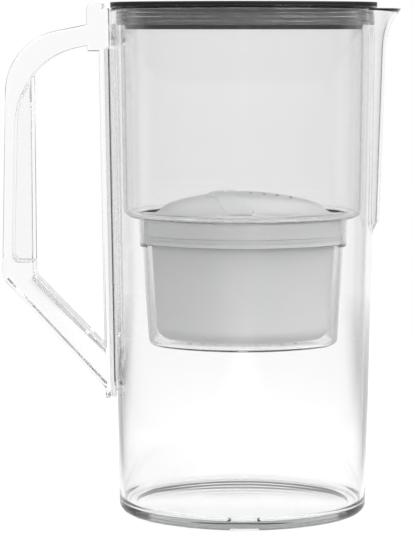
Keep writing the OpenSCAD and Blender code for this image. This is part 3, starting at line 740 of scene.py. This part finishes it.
def dome_at(x, y, inset=0.0):
    """Height of the cap's dome: a wide sphere over a steep shoulder, blended where they meet."""
    sphere = dome_top - DOME_R + sqrt((DOME_R - inset) ** 2 - x * x - y * y)
    slope = shoulder_z + (shoulder_d - inset - well_offset(x, y)) / SHOULDER_SLOPE
    fall = shoulder_z - inset * sqrt(1 + FALL_SLOPE ** 2) + (shoulder_d - well_offset(x, y)) * FALL_SLOPE
    return -soft_max(-sphere, -soft_max(slope, fall, DOME_BLEND), DOME_BLEND)


def dome_loops(inset):
    """Loops out round the cap's collar and over its dome, from the spigot's seat to the middle."""
    side_d = FLANGE_D - inset
    side_top = shoulder_z - COLLAR_FALL - inset * (sqrt(1 + FALL_SLOPE ** 2) - FALL_SLOPE)
    inward = (side_d - 1, side_top + FALL_SLOPE)
    edge = corner((side_d, seal_top), (side_d, side_top), inward, COLLAR_R, 4)
    profile = [(CAP_D - inset, flange_z + inset), (CAP_D - inset, seal_top + inset)]
    profile += [(side_d, seal_top + inset), *edge]
    loops = [ring(well_oval, d, z) for d, z in profile]
    rows = [ring(well_oval, d, 0) for d in spread(edge[-1][0] - COLLAR_STEP, DOME_FLAT_D, 40)]
    last = ring(well_oval, DOME_FLAT_D, 0)
    rows += [[(x * k, y * k, 0) for x, y, z in last] for k in (1, 0.8, 0.6, 0.4, 0.2, 0.05)]
    return loops + [[(x, y, dome_at(x, y, inset)) for x, y, z in row] for row in rows]


cap_loops = dome_loops(CAP_T)[::-1]
cap_loops += [ring(well_oval, spigot_d - CAP_T, z) for z in (flange_z + CAP_T, spigot_z)]
cap_loops += [ring(well_oval, spigot_d, z) for z in (spigot_z, flange_z)]
cap_loops += dome_loops(0)
cap = loft("cap", cap_loops)

half = GRIP_W / 2
grip_section = [(0, -GRIP_SINK), (-half, -GRIP_SINK)]
grip_section += arc((GRIP_EDGE_R - half, GRIP_H - GRIP_EDGE_R), GRIP_EDGE_R, 180, 90, 4)
grip_section += [(0, GRIP_H)]
grip_section += arc((half - GRIP_EDGE_R, GRIP_H - GRIP_EDGE_R), GRIP_EDGE_R, 90, 0, 4)
grip_section += [(half, -GRIP_SINK)]
grip_loops = []
for turn in spread(180 - GRIP_TURN / 2, 180 + GRIP_TURN / 2, 60):
    aim = Vector((cos(radians(turn)), sin(radians(turn))))
    spots = [(Vector((grip_x, 0)) + aim * (GRIP_R + u), v) for u, v in grip_section]
    grip_loops.append([(spot.x, spot.y, dome_at(spot.x, spot.y) + up) for spot, up in spots])
grip = loft("grip", grip_loops)
above = blocks("above", [(0, 0)], (2 * WELL_HALF_W, 2 * WELL_HALF_D), shoulder_z, dome_top + 5 * CUT)
combine(grip, above, "INTERSECT")
combine(cap, grip, "UNION")
cap_spots = [(grip_x + (i - (CAP_SLOTS - 1) / 2) * SLOT_PITCH, 0) for i in range(CAP_SLOTS)]
cap_slots = blocks("cap_slots", cap_spots, (SLOT_W, CAP_SLOT_LEN), shoulder_z, dome_top + 5 * CUT)
combine(cap, cap_slots, "DIFFERENCE")
smooth(cap, 28)
cap.data.materials.append(white_pp)
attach(cap, "cartridge")
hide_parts("cartridge_cap")

# Cartridge seal
# A soft pale ring of silicone rubber that lies on the flange and stops water going round the cartridge.
SEAL_BEVEL = 1.0
SEAL_IN_D = -4.8
seal_profile = [(SEAL_IN_D, flange_z), (FLANGE_D, flange_z)]
seal_profile += arc((FLANGE_D - SEAL_BEVEL, seal_top - SEAL_BEVEL), SEAL_BEVEL, 0, 90, 5)
seal_profile += [(SEAL_IN_D, seal_top)]
seal = loft("seal_ring", [ring(well_oval, d, z) for d, z in seal_profile], closed=True)
soften(seal, 0.25)
smooth(seal)

# Pale silicone: waxy and dull, with a little dust bloom.
BLOOM_MM = 4.0
silicone, tree = start_material("pale_silicone")
place = add(tree, "ShaderNodeTexCoord").outputs["Object"]
bloom = add(tree, "ShaderNodeTexNoise", {"Vector": place, "Scale": 1 / (BLOOM_MM * MM), "Detail": 4.0})
tone = add(tree, "ShaderNodeMix", {
    "Factor": bloom.outputs["Fac"], "A": linear("#d5d6d6"), "B": linear("#e2e3e3"),
}, data_type="RGBA")
dull = add(tree, "ShaderNodeMapRange", {"Value": bloom.outputs["Fac"], "To Min": 0.5, "To Max": 0.68})
rubber = add(tree, "ShaderNodeBsdfPrincipled", {
    "Base Color": tone.outputs["Result"], "Roughness": dull.outputs["Result"], "IOR": 1.41,
    "Sheen Weight": 0.1,
})
add(tree, "ShaderNodeOutputMaterial", {"Surface": rubber.outputs["BSDF"]})

seal.data.materials.append(silicone)
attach(seal, "cartridge")
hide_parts("cartridge_seal")

# Screens
# Two thin slotted plates of grey polyethylene, one over and one under the filling. They are held by the
# spigot of the cap and by the floor of the cup.
SCREEN_T = 0.8
FLOW_MM = 6.0


def fill_d(z):
    """Offset of a piece that fills the cup at height z."""
    return spigot_d - CUP_DRAW_IN * (ledge_z - z) / (ledge_z - cup_c[1])


cup_floor_z = cup_z + CUP_WALL
top_screen_z = spigot_z - SCREEN_T

# Grey polyethylene: waxy, with pale flow marks from the gate.
grey_pe, tree = start_material("grey_polyethylene")
place = add(tree, "ShaderNodeTexCoord").outputs["Object"]
flow = add(tree, "ShaderNodeTexNoise", {"Vector": place, "Scale": 1 / (FLOW_MM * MM), "Detail": 3.0})
tone = add(tree, "ShaderNodeMix", {
    "Factor": flow.outputs["Fac"], "A": linear("#8d8f91"), "B": linear("#a3a5a6"),
}, data_type="RGBA")
waxy = add(tree, "ShaderNodeMapRange", {"Value": flow.outputs["Fac"], "To Min": 0.42, "To Max": 0.58})
plate = add(tree, "ShaderNodeBsdfPrincipled", {
    "Base Color": tone.outputs["Result"], "Roughness": waxy.outputs["Result"], "IOR": 1.51,
})
add(tree, "ShaderNodeOutputMaterial", {"Surface": plate.outputs["BSDF"]})

for name, d, z in (
    ("top_screen", fill_d(top_screen_z), top_screen_z),
    ("bottom_screen", floor_d, cup_floor_z),
):
    screen = loft(name + "_plate", [ring(well_oval, d, z), ring(well_oval, d, z + SCREEN_T)])
    combine(screen, slots_within(d, z, z + SCREEN_T), "DIFFERENCE")
    soften(screen, 0.12)
    smooth(screen)
    screen.data.materials.append(grey_pe)
    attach(screen, "cartridge")
    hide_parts(name)

# Filling
# A bed of black carbon and amber resin granules between two felted polyester pads. All three lie loose
# in the cup, under the top screen.
FLEECE_T = 1.5
FLEECE_LUMP = 3.0
FLEECE_DENT = 0.25
BED_LUMP = 2.0
BED_DENT = 0.5
BED_EDGE = 0.5


def lumpy(name, sides, cell, depth):
    """A soft solid between the first and last (offset, height) of its sides, pressed in by noise."""
    (low_d, low_z), (high_d, high_z) = sides[0], sides[-1]
    inward = (0.05, 0.2, 0.35, 0.5, 0.65, 0.8, 0.92)
    low, high = ring(well_oval, low_d, low_z), ring(well_oval, high_d, high_z)
    loops = [[(x * k, y * k, z) for x, y, z in low] for k in inward]
    loops += [ring(well_oval, d, z) for d, z in sides]
    loops += [[(x * k, y * k, z) for x, y, z in high] for k in reversed(inward)]
    middle = Vector((0, 0, (low_z + high_z) / 2))
    pressed = []
    for loop in loops:
        points = [Vector(p) for p in loop]
        hollows = [depth * (0.5 + 0.5 * noise.noise(p / cell)) for p in points]
        pressed.append([p + (middle - p).normalized() * h for p, h in zip(points, hollows)])
    return loft(name, pressed)


top_fleece_z = top_screen_z - FLEECE_T
low_fleece_z = cup_floor_z + SCREEN_T
granules_z = low_fleece_z + FLEECE_T
bed_sides = [(floor_d, granules_z)]
bed_sides += [(fill_d(z), z) for z in spread(cup_c[1] + BED_EDGE, top_fleece_z, 16)]
bed_sides += [(fill_d(top_fleece_z), top_fleece_z)]

# Felted polyester: off-white fibres in every direction, with sheen on their tips.
FIBRE_MM = 0.7
felt, tree = start_material("polyester_fleece")
place = add(tree, "ShaderNodeTexCoord").outputs["Object"]
fibres = add(tree, "ShaderNodeTexNoise", {
    "Vector": place, "Scale": 1 / (FIBRE_MM * MM), "Detail": 5.0, "Distortion": 2.0,
})
tone = add(tree, "ShaderNodeMix", {
    "Factor": fibres.outputs["Fac"], "A": linear("#d9d8d2"), "B": linear("#f1f0ea"),
}, data_type="RGBA")
nap = add(tree, "ShaderNodeBump", {"Height": fibres.outputs["Fac"], "Strength": 0.6, "Distance": 0.0004})
cloth = add(tree, "ShaderNodeBsdfPrincipled", {
    "Base Color": tone.outputs["Result"], "Roughness": 0.95, "Sheen Weight": 0.4, "Sheen Roughness": 0.5,
    "Normal": nap.outputs["Normal"],
})
add(tree, "ShaderNodeOutputMaterial", {"Surface": cloth.outputs["BSDF"]})
pads = (
    ("top_fleece", fill_d(top_fleece_z), top_fleece_z, top_screen_z),
    ("bottom_fleece", floor_d, low_fleece_z, granules_z),
)
for name, d, low, high in pads:
    sides = [(d, low), (d, low + FLEECE_T / 2), (d, high)]
    pad = lumpy(name + "_pad", sides, FLEECE_LUMP, FLEECE_DENT)
    smooth(pad, 80)
    pad.data.materials.append(felt)
    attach(pad, "cartridge")
    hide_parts(name)

# Carbon and resin granules, about a millimetre each: each cell of the pattern is one grain.
GRANULE_MM = 1.1
RESIN_FROM = 0.6
grains, tree = start_material("carbon_and_resin_granules")
place = add(tree, "ShaderNodeTexCoord").outputs["Object"]
cells = add(tree, "ShaderNodeTexVoronoi", {"Vector": place, "Scale": 1 / (GRANULE_MM * MM)})
pick = add(tree, "ShaderNodeSeparateColor", {0: cells.outputs["Color"]})
resin = add(tree, "ShaderNodeMath", {0: pick.outputs[0], 1: RESIN_FROM}, operation="GREATER_THAN")
tone = add(tree, "ShaderNodeMix", {
    "Factor": resin.outputs[0], "A": linear("#232325"), "B": linear("#b58a4c"),
}, data_type="RGBA")
round_off = add(tree, "ShaderNodeBump", {
    "Height": cells.outputs["Distance"], "Strength": 1.0, "Distance": 0.0006,
}, invert=True)
bed_grain = add(tree, "ShaderNodeBsdfPrincipled", {
    "Base Color": tone.outputs["Result"], "Roughness": 0.55, "Normal": round_off.outputs["Normal"],
})
add(tree, "ShaderNodeOutputMaterial", {"Surface": bed_grain.outputs["BSDF"]})
bed = lumpy("granule_bed", bed_sides, BED_LUMP, BED_DENT)
smooth(bed, 80)
bed.data.materials.append(grains)
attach(bed, "cartridge")
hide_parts("filter_granules")

# Lid
# Dark grey ABS, moulded in one: an oval plate that rests on the reservoir's lip, a stepped skirt inside
# it, a pocket and collar for the fill flap, two hinge lugs and a recess with a boss for the change dial.
PLATE_T = 2.2
LID_OUT = 3.5
GROOVE_IN = 0.5
GROOVE_H = 0.4
PLATE_BEVEL = 0.4
UNDER_BEVEL = 0.15
SKIRT_T = 1.8
SKIRT_DEPTH = 10.6
LID_SEAL_H = 2.0
POCKET = (-39.0, 11.0, 40.0, 8.0)
FLAP_T = 1.8
LEDGE_W = 2.5
COLLAR_H = 4.4
PIN_R = 1.2
BARREL_R = 2.2
BARREL_LEN = 22.0
LUG_T = 5.0
LUG_W = 2 * (BARREL_R + LIFT_GAP)
SWING_GAP = 1.0
DIAL_X = 36.0
DIAL_R = 13.0
DIAL_T = 1.75
DIAL_DEPTH = 2.05
DIAL_PLAY = 0.1
BOSS_R = 3.0
BOSS_H = 1.3
BOSS_BORE_R = 1.5
PRESS_GAP = 0.02
TURN_GAP = 0.08
BORE_PAST = 0.01


def panel(grow):
    """Outline of the flap's pocket, grown or shrunk all round, with its corners kept concentric."""
    low, high, width, r = POCKET
    half = width / 2 + grow
    r += grow
    return rounded([
        (low - grow, -half, r), (high + grow, -half, r), (high + grow, half, r), (low - grow, half, r),
    ], 10)


def flat(u, v, w):
    """A place in plan, w up."""
    return u, v, w


def disc(name, spot, r, low, high, steps=64):
    around = [(spot + r * cos(a), r * sin(a)) for a in spread(0, 2 * pi, steps)]
    return extrude(name, around, low, high, flat)


def rod(name, r, half_len, steps=40):
    """A round bar along the flap's hinge line."""
    around = [(hinge_x + r * cos(a), LID_PLATE_Z + r * sin(a)) for a in spread(0, 2 * pi, steps)]
    return extrude(name, around, -half_len, half_len, across)


lid_top = LID_PLATE_Z + PLATE_T
flap_z = lid_top - FLAP_T
hinge_x = POCKET[0] - SKIRT_T
lug_y = BARREL_LEN / 2 + LIFT_GAP
dial_floor_z = lid_top - DIAL_DEPTH
groove_z = LID_PLATE_Z + PLATE_T / 2 - GROOVE_H / 2
skirt_top_d = ring_in_d - LIFT_GAP
skirt_low_d = res_top_d - RES_WALL - LIFT_GAP
skirt_in_d = skirt_low_d - SKIRT_T
skirt_step_z = RING_Z + RES_WALL + LIFT_GAP
skirt_z = RIM_Z - SKIRT_DEPTH
lid_seal_top = skirt_z + LID_SEAL_H
mid_plate_z = LID_PLATE_Z + PLATE_T / 2
under_collar_z = LID_PLATE_Z - 2 * COLLAR_H

edge_profile = [(LID_OUT - UNDER_BEVEL, LID_PLATE_Z), (LID_OUT, LID_PLATE_Z + UNDER_BEVEL)]
edge_profile += [(LID_OUT, groove_z - GROOVE_H / 2), (LID_OUT - GROOVE_IN, groove_z)]
edge_profile += [(LID_OUT, groove_z + GROOVE_H / 2)]
edge_profile += arc((LID_OUT - PLATE_BEVEL, lid_top - PLATE_BEVEL), PLATE_BEVEL, 0, 90, 5)
lid = loft("lid_moulding", [ring(jug_oval, d, z) for d, z in edge_profile])
skirt_profile = [(skirt_top_d, mid_plate_z), (skirt_top_d, skirt_step_z), (skirt_low_d, skirt_step_z)]
skirt_profile += [(skirt_low_d, lid_seal_top), (skirt_in_d, lid_seal_top), (skirt_in_d, mid_plate_z)]
combine(lid, loft("skirt", [ring(jug_oval, d, z) for d, z in skirt_profile], closed=True), "UNION")
combine(lid, extrude("collar", panel(SKIRT_T), LID_PLATE_Z - COLLAR_H, mid_plate_z, flat), "UNION")
lug_spots = [(hinge_x, side * (lug_y + LUG_T / 2)) for side in (-1, 1)]
lugs = blocks("lugs", lug_spots, (LUG_W, LUG_T), LID_PLATE_Z - BARREL_R, mid_plate_z)
combine(lid, lugs, "UNION")
dial_seat = disc("dial_seat", DIAL_X, DIAL_R + PLATE_T, LID_PLATE_Z - PLATE_T / 2, mid_plate_z)
combine(lid, dial_seat, "UNION")
combine(lid, extrude("pocket", panel(0), flap_z, lid_top + CUT, flat), "DIFFERENCE")
opening = extrude("opening", panel(-LEDGE_W), under_collar_z, lid_top + CUT, flat)
combine(lid, opening, "DIFFERENCE")
notch_len = LUG_W + 2 * LEDGE_W
notch_x = hinge_x - LUG_W / 2 + notch_len / 2
notch_size = (notch_len, 2 * lug_y)
hinge_notch = blocks("hinge_notch", [(notch_x, 0)], notch_size, under_collar_z, lid_top + CUT)
combine(lid, hinge_notch, "DIFFERENCE")
combine(lid, rod("pin_bore", PIN_R + PRESS_GAP, lug_y + LUG_T + BORE_PAST), "DIFFERENCE")
recess = disc("recess", DIAL_X, DIAL_R + LIFT_GAP, dial_floor_z, lid_top + CUT)
combine(recess, disc("boss", DIAL_X, BOSS_R, dial_floor_z - CUT, dial_floor_z + BOSS_H), "DIFFERENCE")
combine(lid, recess, "DIFFERENCE")
combine(lid, disc("boss_bore", DIAL_X, BOSS_BORE_R, dial_floor_z, lid_top + CUT), "DIFFERENCE")
soften(lid, 0.15, 2, 50)
smooth(lid)

# Dark ABS: satin, with a fine spark-eroded grain that breaks up its gloss.
TONE_DRIFT_MM = 18.0
SPARK_GRAIN_MM = 0.4


def moulded(name, dark, pale, rough):
    """A dyed moulding plastic with a fine spark-eroded grain and a slow drift in its tone."""
    material, tree = start_material(name)
    place = add(tree, "ShaderNodeTexCoord").outputs["Object"]
    drift = add(tree, "ShaderNodeTexNoise", {
        "Vector": place, "Scale": 1 / (TONE_DRIFT_MM * MM), "Detail": 3.0,
    })
    grain = add(tree, "ShaderNodeTexNoise", {
        "Vector": place, "Scale": 1 / (SPARK_GRAIN_MM * MM), "Detail": 2.0,
    })
    tone = add(tree, "ShaderNodeMix", {
        "Factor": drift.outputs["Fac"], "A": linear(dark), "B": linear(pale),
    }, data_type="RGBA")
    satin = add(tree, "ShaderNodeMapRange", {
        "Value": grain.outputs["Fac"], "To Min": rough - 0.06, "To Max": rough + 0.08,
    })
    bump = add(tree, "ShaderNodeBump", {
        "Height": grain.outputs["Fac"], "Strength": 0.2, "Distance": 0.2 * MM,
    })
    shell = add(tree, "ShaderNodeBsdfPrincipled", {
        "Base Color": tone.outputs["Result"], "Roughness": satin.outputs["Result"], "IOR": 1.53,
        "Normal": bump.outputs["Normal"],
    })
    add(tree, "ShaderNodeOutputMaterial", {"Surface": shell.outputs["BSDF"]})
    return material


dark_abs = moulded("dark_grey_abs", "#121214", "#19191b", 0.5)
lid.data.materials.append(dark_abs)
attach(lid, "lid")
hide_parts("lid_shell")

# Lid seal
# A band of soft dark elastomer, moulded on to the foot of the skirt, that wipes the reservoir's wall.
wiper_profile = [(skirt_in_d, skirt_z), (skirt_low_d - PLATE_BEVEL, skirt_z)]
wiper_profile += [(skirt_low_d, skirt_z + PLATE_BEVEL), (skirt_low_d, lid_seal_top)]
wiper_profile += [(skirt_in_d, lid_seal_top)]
wiper = loft("wiper", [ring(jug_oval, d, z) for d, z in wiper_profile], closed=True)
smooth(wiper)
wiper.data.materials.append(moulded("dark_elastomer", "#0f0f11", "#151517", 0.68))
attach(wiper, "lid")
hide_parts("lid_seal")

# Fill flap
# A flap of the same ABS that lies in the pocket, with a little more gloss. A bridge joins its plate to a
# barrel, which turns on the pin.
side_x = hinge_x + BARREL_R + SWING_GAP
high, width, r = POCKET[1:]
flap_half = width / 2 - LIFT_GAP
flap_r = r - LIFT_GAP
flap_outline = rounded([
    (side_x, -flap_half, flap_r), (high - LIFT_GAP, -flap_half, flap_r),
    (high - LIFT_GAP, flap_half, flap_r), (side_x, flap_half, flap_r),
], 10)
flap = extrude("flap_plate", flap_outline, flap_z, lid_top, flat)
bridge_end = side_x + r
bridge_size = (bridge_end - hinge_x, BARREL_LEN)
bridge = blocks("bridge", [((hinge_x + bridge_end) / 2, 0)], bridge_size, flap_z, lid_top)
combine(flap, bridge, "UNION")
combine(flap, rod("barrel", BARREL_R, BARREL_LEN / 2), "UNION")
combine(flap, rod("bore", PIN_R + TURN_GAP, BARREL_LEN), "DIFFERENCE")
soften(flap, 0.25, 2, 50)
smooth(flap)
flap.data.materials.append(moulded("dark_grey_abs_flap", "#1c1c1e", "#232326", 0.38))
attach(flap, "flap")
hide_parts("fill_flap")

# Flap hinge pin
# Drawn stainless wire, pressed through both lugs. Fine lines from the die run along it, and break up its
# shine.
DIE_LINE_MM = 0.15
DIE_STRETCH = 0.02
pin = rod("pin_wire", PIN_R, lug_y + LUG_T)
soften(pin, 0.2, 2, 50)
smooth(pin)
steel, tree = start_material("stainless_wire")
place = add(tree, "ShaderNodeTexCoord").outputs["Object"]
drawn = add(tree, "ShaderNodeMapping", {"Vector": place, "Scale": (1, DIE_STRETCH, 1)})
lines = add(tree, "ShaderNodeTexNoise", {
    "Vector": drawn.outputs[0], "Scale": 1 / (DIE_LINE_MM * MM), "Detail": 3.0,
})
worn = add(tree, "ShaderNodeMapRange", {"Value": lines.outputs["Fac"], "To Min": 0.18, "To Max": 0.38})
wire = add(tree, "ShaderNodeBsdfPrincipled", {
    "Base Color": linear("#c3c4c6"), "Metallic": 1.0, "Roughness": worn.outputs["Result"],
})
add(tree, "ShaderNodeOutputMaterial", {"Surface": wire.outputs["BSDF"]})
pin.data.materials.append(steel)
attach(pin, "lid")
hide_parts("flap_hinge_pin")

# Change dial
# A grey acetal disc that turns on the boss. Twelve notches round it count the weeks of a cartridge.
CAP_DISC_R = 5.0
CAP_DISC_T = 0.65
CAP_STEM_H = 1.2
DIAL_NOTCHES = 12
DIAL_NOTCH_R = 0.8
dial_z = dial_floor_z + DIAL_PLAY
dial_top = dial_z + DIAL_T
dial = disc("dial_disc", DIAL_X, DIAL_R, dial_z, dial_top, 96)
combine(dial, disc("bore", DIAL_X, BOSS_R + TURN_GAP, dial_z - CUT, dial_top + CUT), "DIFFERENCE")
seat_z = dial_z + BOSS_H - 2 * DIAL_PLAY
combine(dial, disc("seat", DIAL_X, CAP_DISC_R + LIFT_GAP, seat_z, dial_top + CUT), "DIFFERENCE")
for a in spread(0, 2 * pi, DIAL_NOTCHES):
    x, y = DIAL_X + DIAL_R * cos(a), DIAL_R * sin(a)
    bite = [(x + DIAL_NOTCH_R * cos(t), y + DIAL_NOTCH_R * sin(t)) for t in spread(0, 2 * pi, 20)]
    combine(dial, extrude("bite", bite, dial_z - CUT, dial_top + CUT, flat), "DIFFERENCE")
soften(dial, 0.2, 2, 50)
smooth(dial)
dial.data.materials.append(moulded("grey_acetal", "#57575b", "#616165", 0.4))
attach(dial, "dial")
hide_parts("change_dial")

# Dial cap
# A dark disc on a stem, pushed into the boss, that keeps the dial down and lets it turn.
boss_top = dial_floor_z + BOSS_H
button = disc("button", DIAL_X, CAP_DISC_R, boss_top, boss_top + CAP_DISC_T)
stem = disc("stem", DIAL_X, BOSS_BORE_R - PRESS_GAP, boss_top - CAP_STEM_H, boss_top + CAP_DISC_T / 2)
combine(button, stem, "UNION")
soften(button, 0.15, 2, 50)
smooth(button)
button.data.materials.append(dark_abs)
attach(button, "lid")
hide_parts("dial_cap")

# Camera
# The photograph was taken from about a metre away, a little below the level of the lid.
CAMERA_AWAY = 1.0
CAMERA_Z = 0.258
CAMERA_X = -0.0197
CAMERA_TILT = 7.28
CAMERA_LENS = 126.96
eye = bpy.data.cameras.new("camera")
eye.lens = CAMERA_LENS
camera = bpy.data.objects.new("camera", eye)
camera.location = (CAMERA_X, -CAMERA_AWAY, CAMERA_Z)
camera.rotation_euler = (radians(90 - CAMERA_TILT), 0, 0)
bpy.context.scene.collection.objects.link(camera)
bpy.context.scene.camera = camera

# Floor and light
# A white sweep that fades into a white background, two soft lamps and a pale surround. Gloss and clear
# plastic see cards round that background: a dark ceiling and grey strips at the sides, which draw the
# clear edges as grey lines, and a softbox over the camera.
FLOOR_R = 900.0
FLOOR_GLOW = 0.66
FLOOR_SHADE = 0.45
FADE_FROM = 0.2
FADE_TO = 0.85
LANE_FROM = 0.08
LANE_TO = 0.13
LANE_SPREAD = 0.08
AMBIENT = 0.74
CEILING_FROM = 0.3
CEILING_TO = 0.42
CEILING_LEVEL = 0.04
SOFTBOX_FROM = 0.15
SOFTBOX_TO = 0.35
SOFTBOX_LEVEL = 0.85
STRIP_FROM = 0.66
STRIP_TO = 0.92
STRIP_EDGE = 0.06
STRIP_LEVEL = 0.22
FRONT_EDGE = 0.2
FRONT_LEVEL = 0.3
WHITE = (1, 1, 1, 1)


def background_rays(tree):
    """One for rays in gloss and through clear plastic, and one for these and the camera's own."""
    seen = add(tree, "ShaderNodeLightPath").outputs
    bent = add(tree, "ShaderNodeMath", {
        0: seen["Is Glossy Ray"], 1: seen["Is Transmission Ray"],
    }, operation="MAXIMUM")
    unscattered = add(tree, "ShaderNodeMath", {0: seen["Diffuse Depth"], 1: 0.5}, operation="LESS_THAN")
    gloss = add(tree, "ShaderNodeMath", {
        0: bent.outputs[0], 1: unscattered.outputs[0],
    }, operation="MULTIPLY")
    direct = add(tree, "ShaderNodeMath", {
        0: gloss.outputs[0], 1: seen["Is Camera Ray"],
    }, operation="MAXIMUM")
    return gloss.outputs[0], direct.outputs[0]


around = [(FLOOR_R * cos(a), FLOOR_R * sin(a)) for a in spread(0, 2 * pi, 96)]
floor = extrude("floor", around, -2, -0.05, flat)
paper, tree = start_material("white_paper")
gloss, direct = background_rays(tree)
place = add(tree, "ShaderNodeTexCoord").outputs["Object"]
away = add(tree, "ShaderNodeVectorMath", {0: place}, operation="LENGTH")
fade = add(tree, "ShaderNodeMapRange", {
    "Value": away.outputs["Value"], "From Min": FADE_FROM, "From Max": FADE_TO,
})
# The paper glows along a lane behind the jug, and less beside it for the rays that edges bend aside.
at = add(tree, "ShaderNodeSeparateXYZ", {0: place}).outputs
off_x = add(tree, "ShaderNodeMath", {0: at["X"]}, operation="ABSOLUTE")
half_lane = add(tree, "ShaderNodeMath", {0: at["Y"], 1: LANE_SPREAD}, operation="MULTIPLY")
off_lane = add(tree, "ShaderNodeMath", {
    0: off_x.outputs[0], 1: half_lane.outputs[0],
}, operation="SUBTRACT")
beside = add(tree, "ShaderNodeMapRange", {
    "Value": off_lane.outputs[0], "From Min": LANE_FROM, "From Max": LANE_TO, "To Max": 1 - STRIP_LEVEL,
})
lost = add(tree, "ShaderNodeMath", {0: gloss, 1: beside.outputs["Result"]}, operation="MULTIPLY")
kept = add(tree, "ShaderNodeMath", {0: direct, 1: lost.outputs[0]}, operation="SUBTRACT")
level = add(tree, "ShaderNodeMath", {0: kept.outputs[0], 1: FLOOR_GLOW}, operation="MULTIPLY")
glow = add(tree, "ShaderNodeEmission", {"Strength": level.outputs[0]})
shade = add(tree, "ShaderNodeBsdfDiffuse", {"Color": (FLOOR_SHADE, FLOOR_SHADE, FLOOR_SHADE, 1)})
lit = add(tree, "ShaderNodeAddShader", {0: shade.outputs[0], 1: glow.outputs[0]})
clear = add(tree, "ShaderNodeBsdfTransparent")
sheet = add(tree, "ShaderNodeMixShader", {
    0: fade.outputs["Result"], 1: lit.outputs[0], 2: clear.outputs[0],
})
add(tree, "ShaderNodeOutputMaterial", {"Surface": sheet.outputs[0]})
floor.data.materials.append(paper)

world = bpy.data.worlds.new("studio")
bpy.context.scene.world = world
world.use_nodes = True
tree = world.node_tree
tree.nodes.clear()
gloss, direct = background_rays(tree)
sky = add(tree, "ShaderNodeTexCoord").outputs["Generated"]
aim = add(tree, "ShaderNodeSeparateXYZ", {0: sky}).outputs
ceiling = add(tree, "ShaderNodeMapRange", {
    "Value": aim["Z"], "From Min": CEILING_FROM, "From Max": CEILING_TO,
    "To Min": 1.0, "To Max": CEILING_LEVEL,
})
sideways = add(tree, "ShaderNodeMath", {0: aim["X"]}, operation="ABSOLUTE").outputs[0]
near_edge = add(tree, "ShaderNodeMapRange", {
    "Value": sideways, "From Min": STRIP_FROM, "From Max": STRIP_FROM + STRIP_EDGE,
})
far_edge = add(tree, "ShaderNodeMapRange", {
    "Value": sideways, "From Min": STRIP_TO + STRIP_EDGE, "From Max": STRIP_TO,
})
strip = add(tree, "ShaderNodeMath", {
    0: near_edge.outputs["Result"], 1: far_edge.outputs["Result"],
}, operation="MULTIPLY")
strips = add(tree, "ShaderNodeMapRange", {
    "Value": strip.outputs[0], "To Min": 1.0, "To Max": STRIP_LEVEL,
})
back = add(tree, "ShaderNodeMath", {
    0: ceiling.outputs["Result"], 1: strips.outputs["Result"],
}, operation="MINIMUM")
front = add(tree, "ShaderNodeMapRange", {
    "Value": aim["Z"], "From Min": SOFTBOX_FROM, "From Max": SOFTBOX_TO,
    "To Min": FRONT_LEVEL, "To Max": SOFTBOX_LEVEL,
})
in_front = add(tree, "ShaderNodeMapRange", {
    "Value": aim["Y"], "From Min": FRONT_EDGE, "From Max": -FRONT_EDGE,
})
card = add(tree, "ShaderNodeMix", {
    "Factor": in_front.outputs["Result"], "A": back.outputs[0], "B": front.outputs["Result"],
})
surround = add(tree, "ShaderNodeBackground", {"Color": (AMBIENT, AMBIENT, AMBIENT, 1)})
white = add(tree, "ShaderNodeBackground", {"Color": WHITE})
cards = add(tree, "ShaderNodeBackground", {"Color": WHITE, "Strength": card.outputs["Result"]})
behind = add(tree, "ShaderNodeMixShader", {0: gloss, 1: white.outputs[0], 2: cards.outputs[0]})
studio = add(tree, "ShaderNodeMixShader", {0: direct, 1: surround.outputs[0], 2: behind.outputs[0]})
add(tree, "ShaderNodeOutputWorld", {"Surface": studio.outputs[0]})

LAMP_AIM = Vector((0, 0, 0.13))
LAMP_SIZE = 1.0
for name, spot, watts in (
    ("softbox_right", (0.9, -1.0, 1.3), 18),
    ("softbox_left", (-1.0, -0.8, 1.2), 4),
):
    lamp = bpy.data.lights.new(name, "AREA")
    lamp.size = LAMP_SIZE
    lamp.energy = watts
    box = bpy.data.objects.new(name, lamp)
    box.location = spot
    box.rotation_euler = (LAMP_AIM - Vector(spot)).to_track_quat("-Z", "Y").to_euler()
    bpy.context.scene.collection.objects.link(box)

bpy.context.scene.view_settings.view_transform = "Standard"
# Light crosses many faces of clear plastic on its way out, so its paths may run on for long.
bpy.context.scene.cycles.max_bounces = 40
bpy.context.scene.cycles.transmission_bounces = 40
bpy.context.scene.cycles.glossy_bounces = 24
bpy.context.scene.cycles.blur_glossy = 0.0
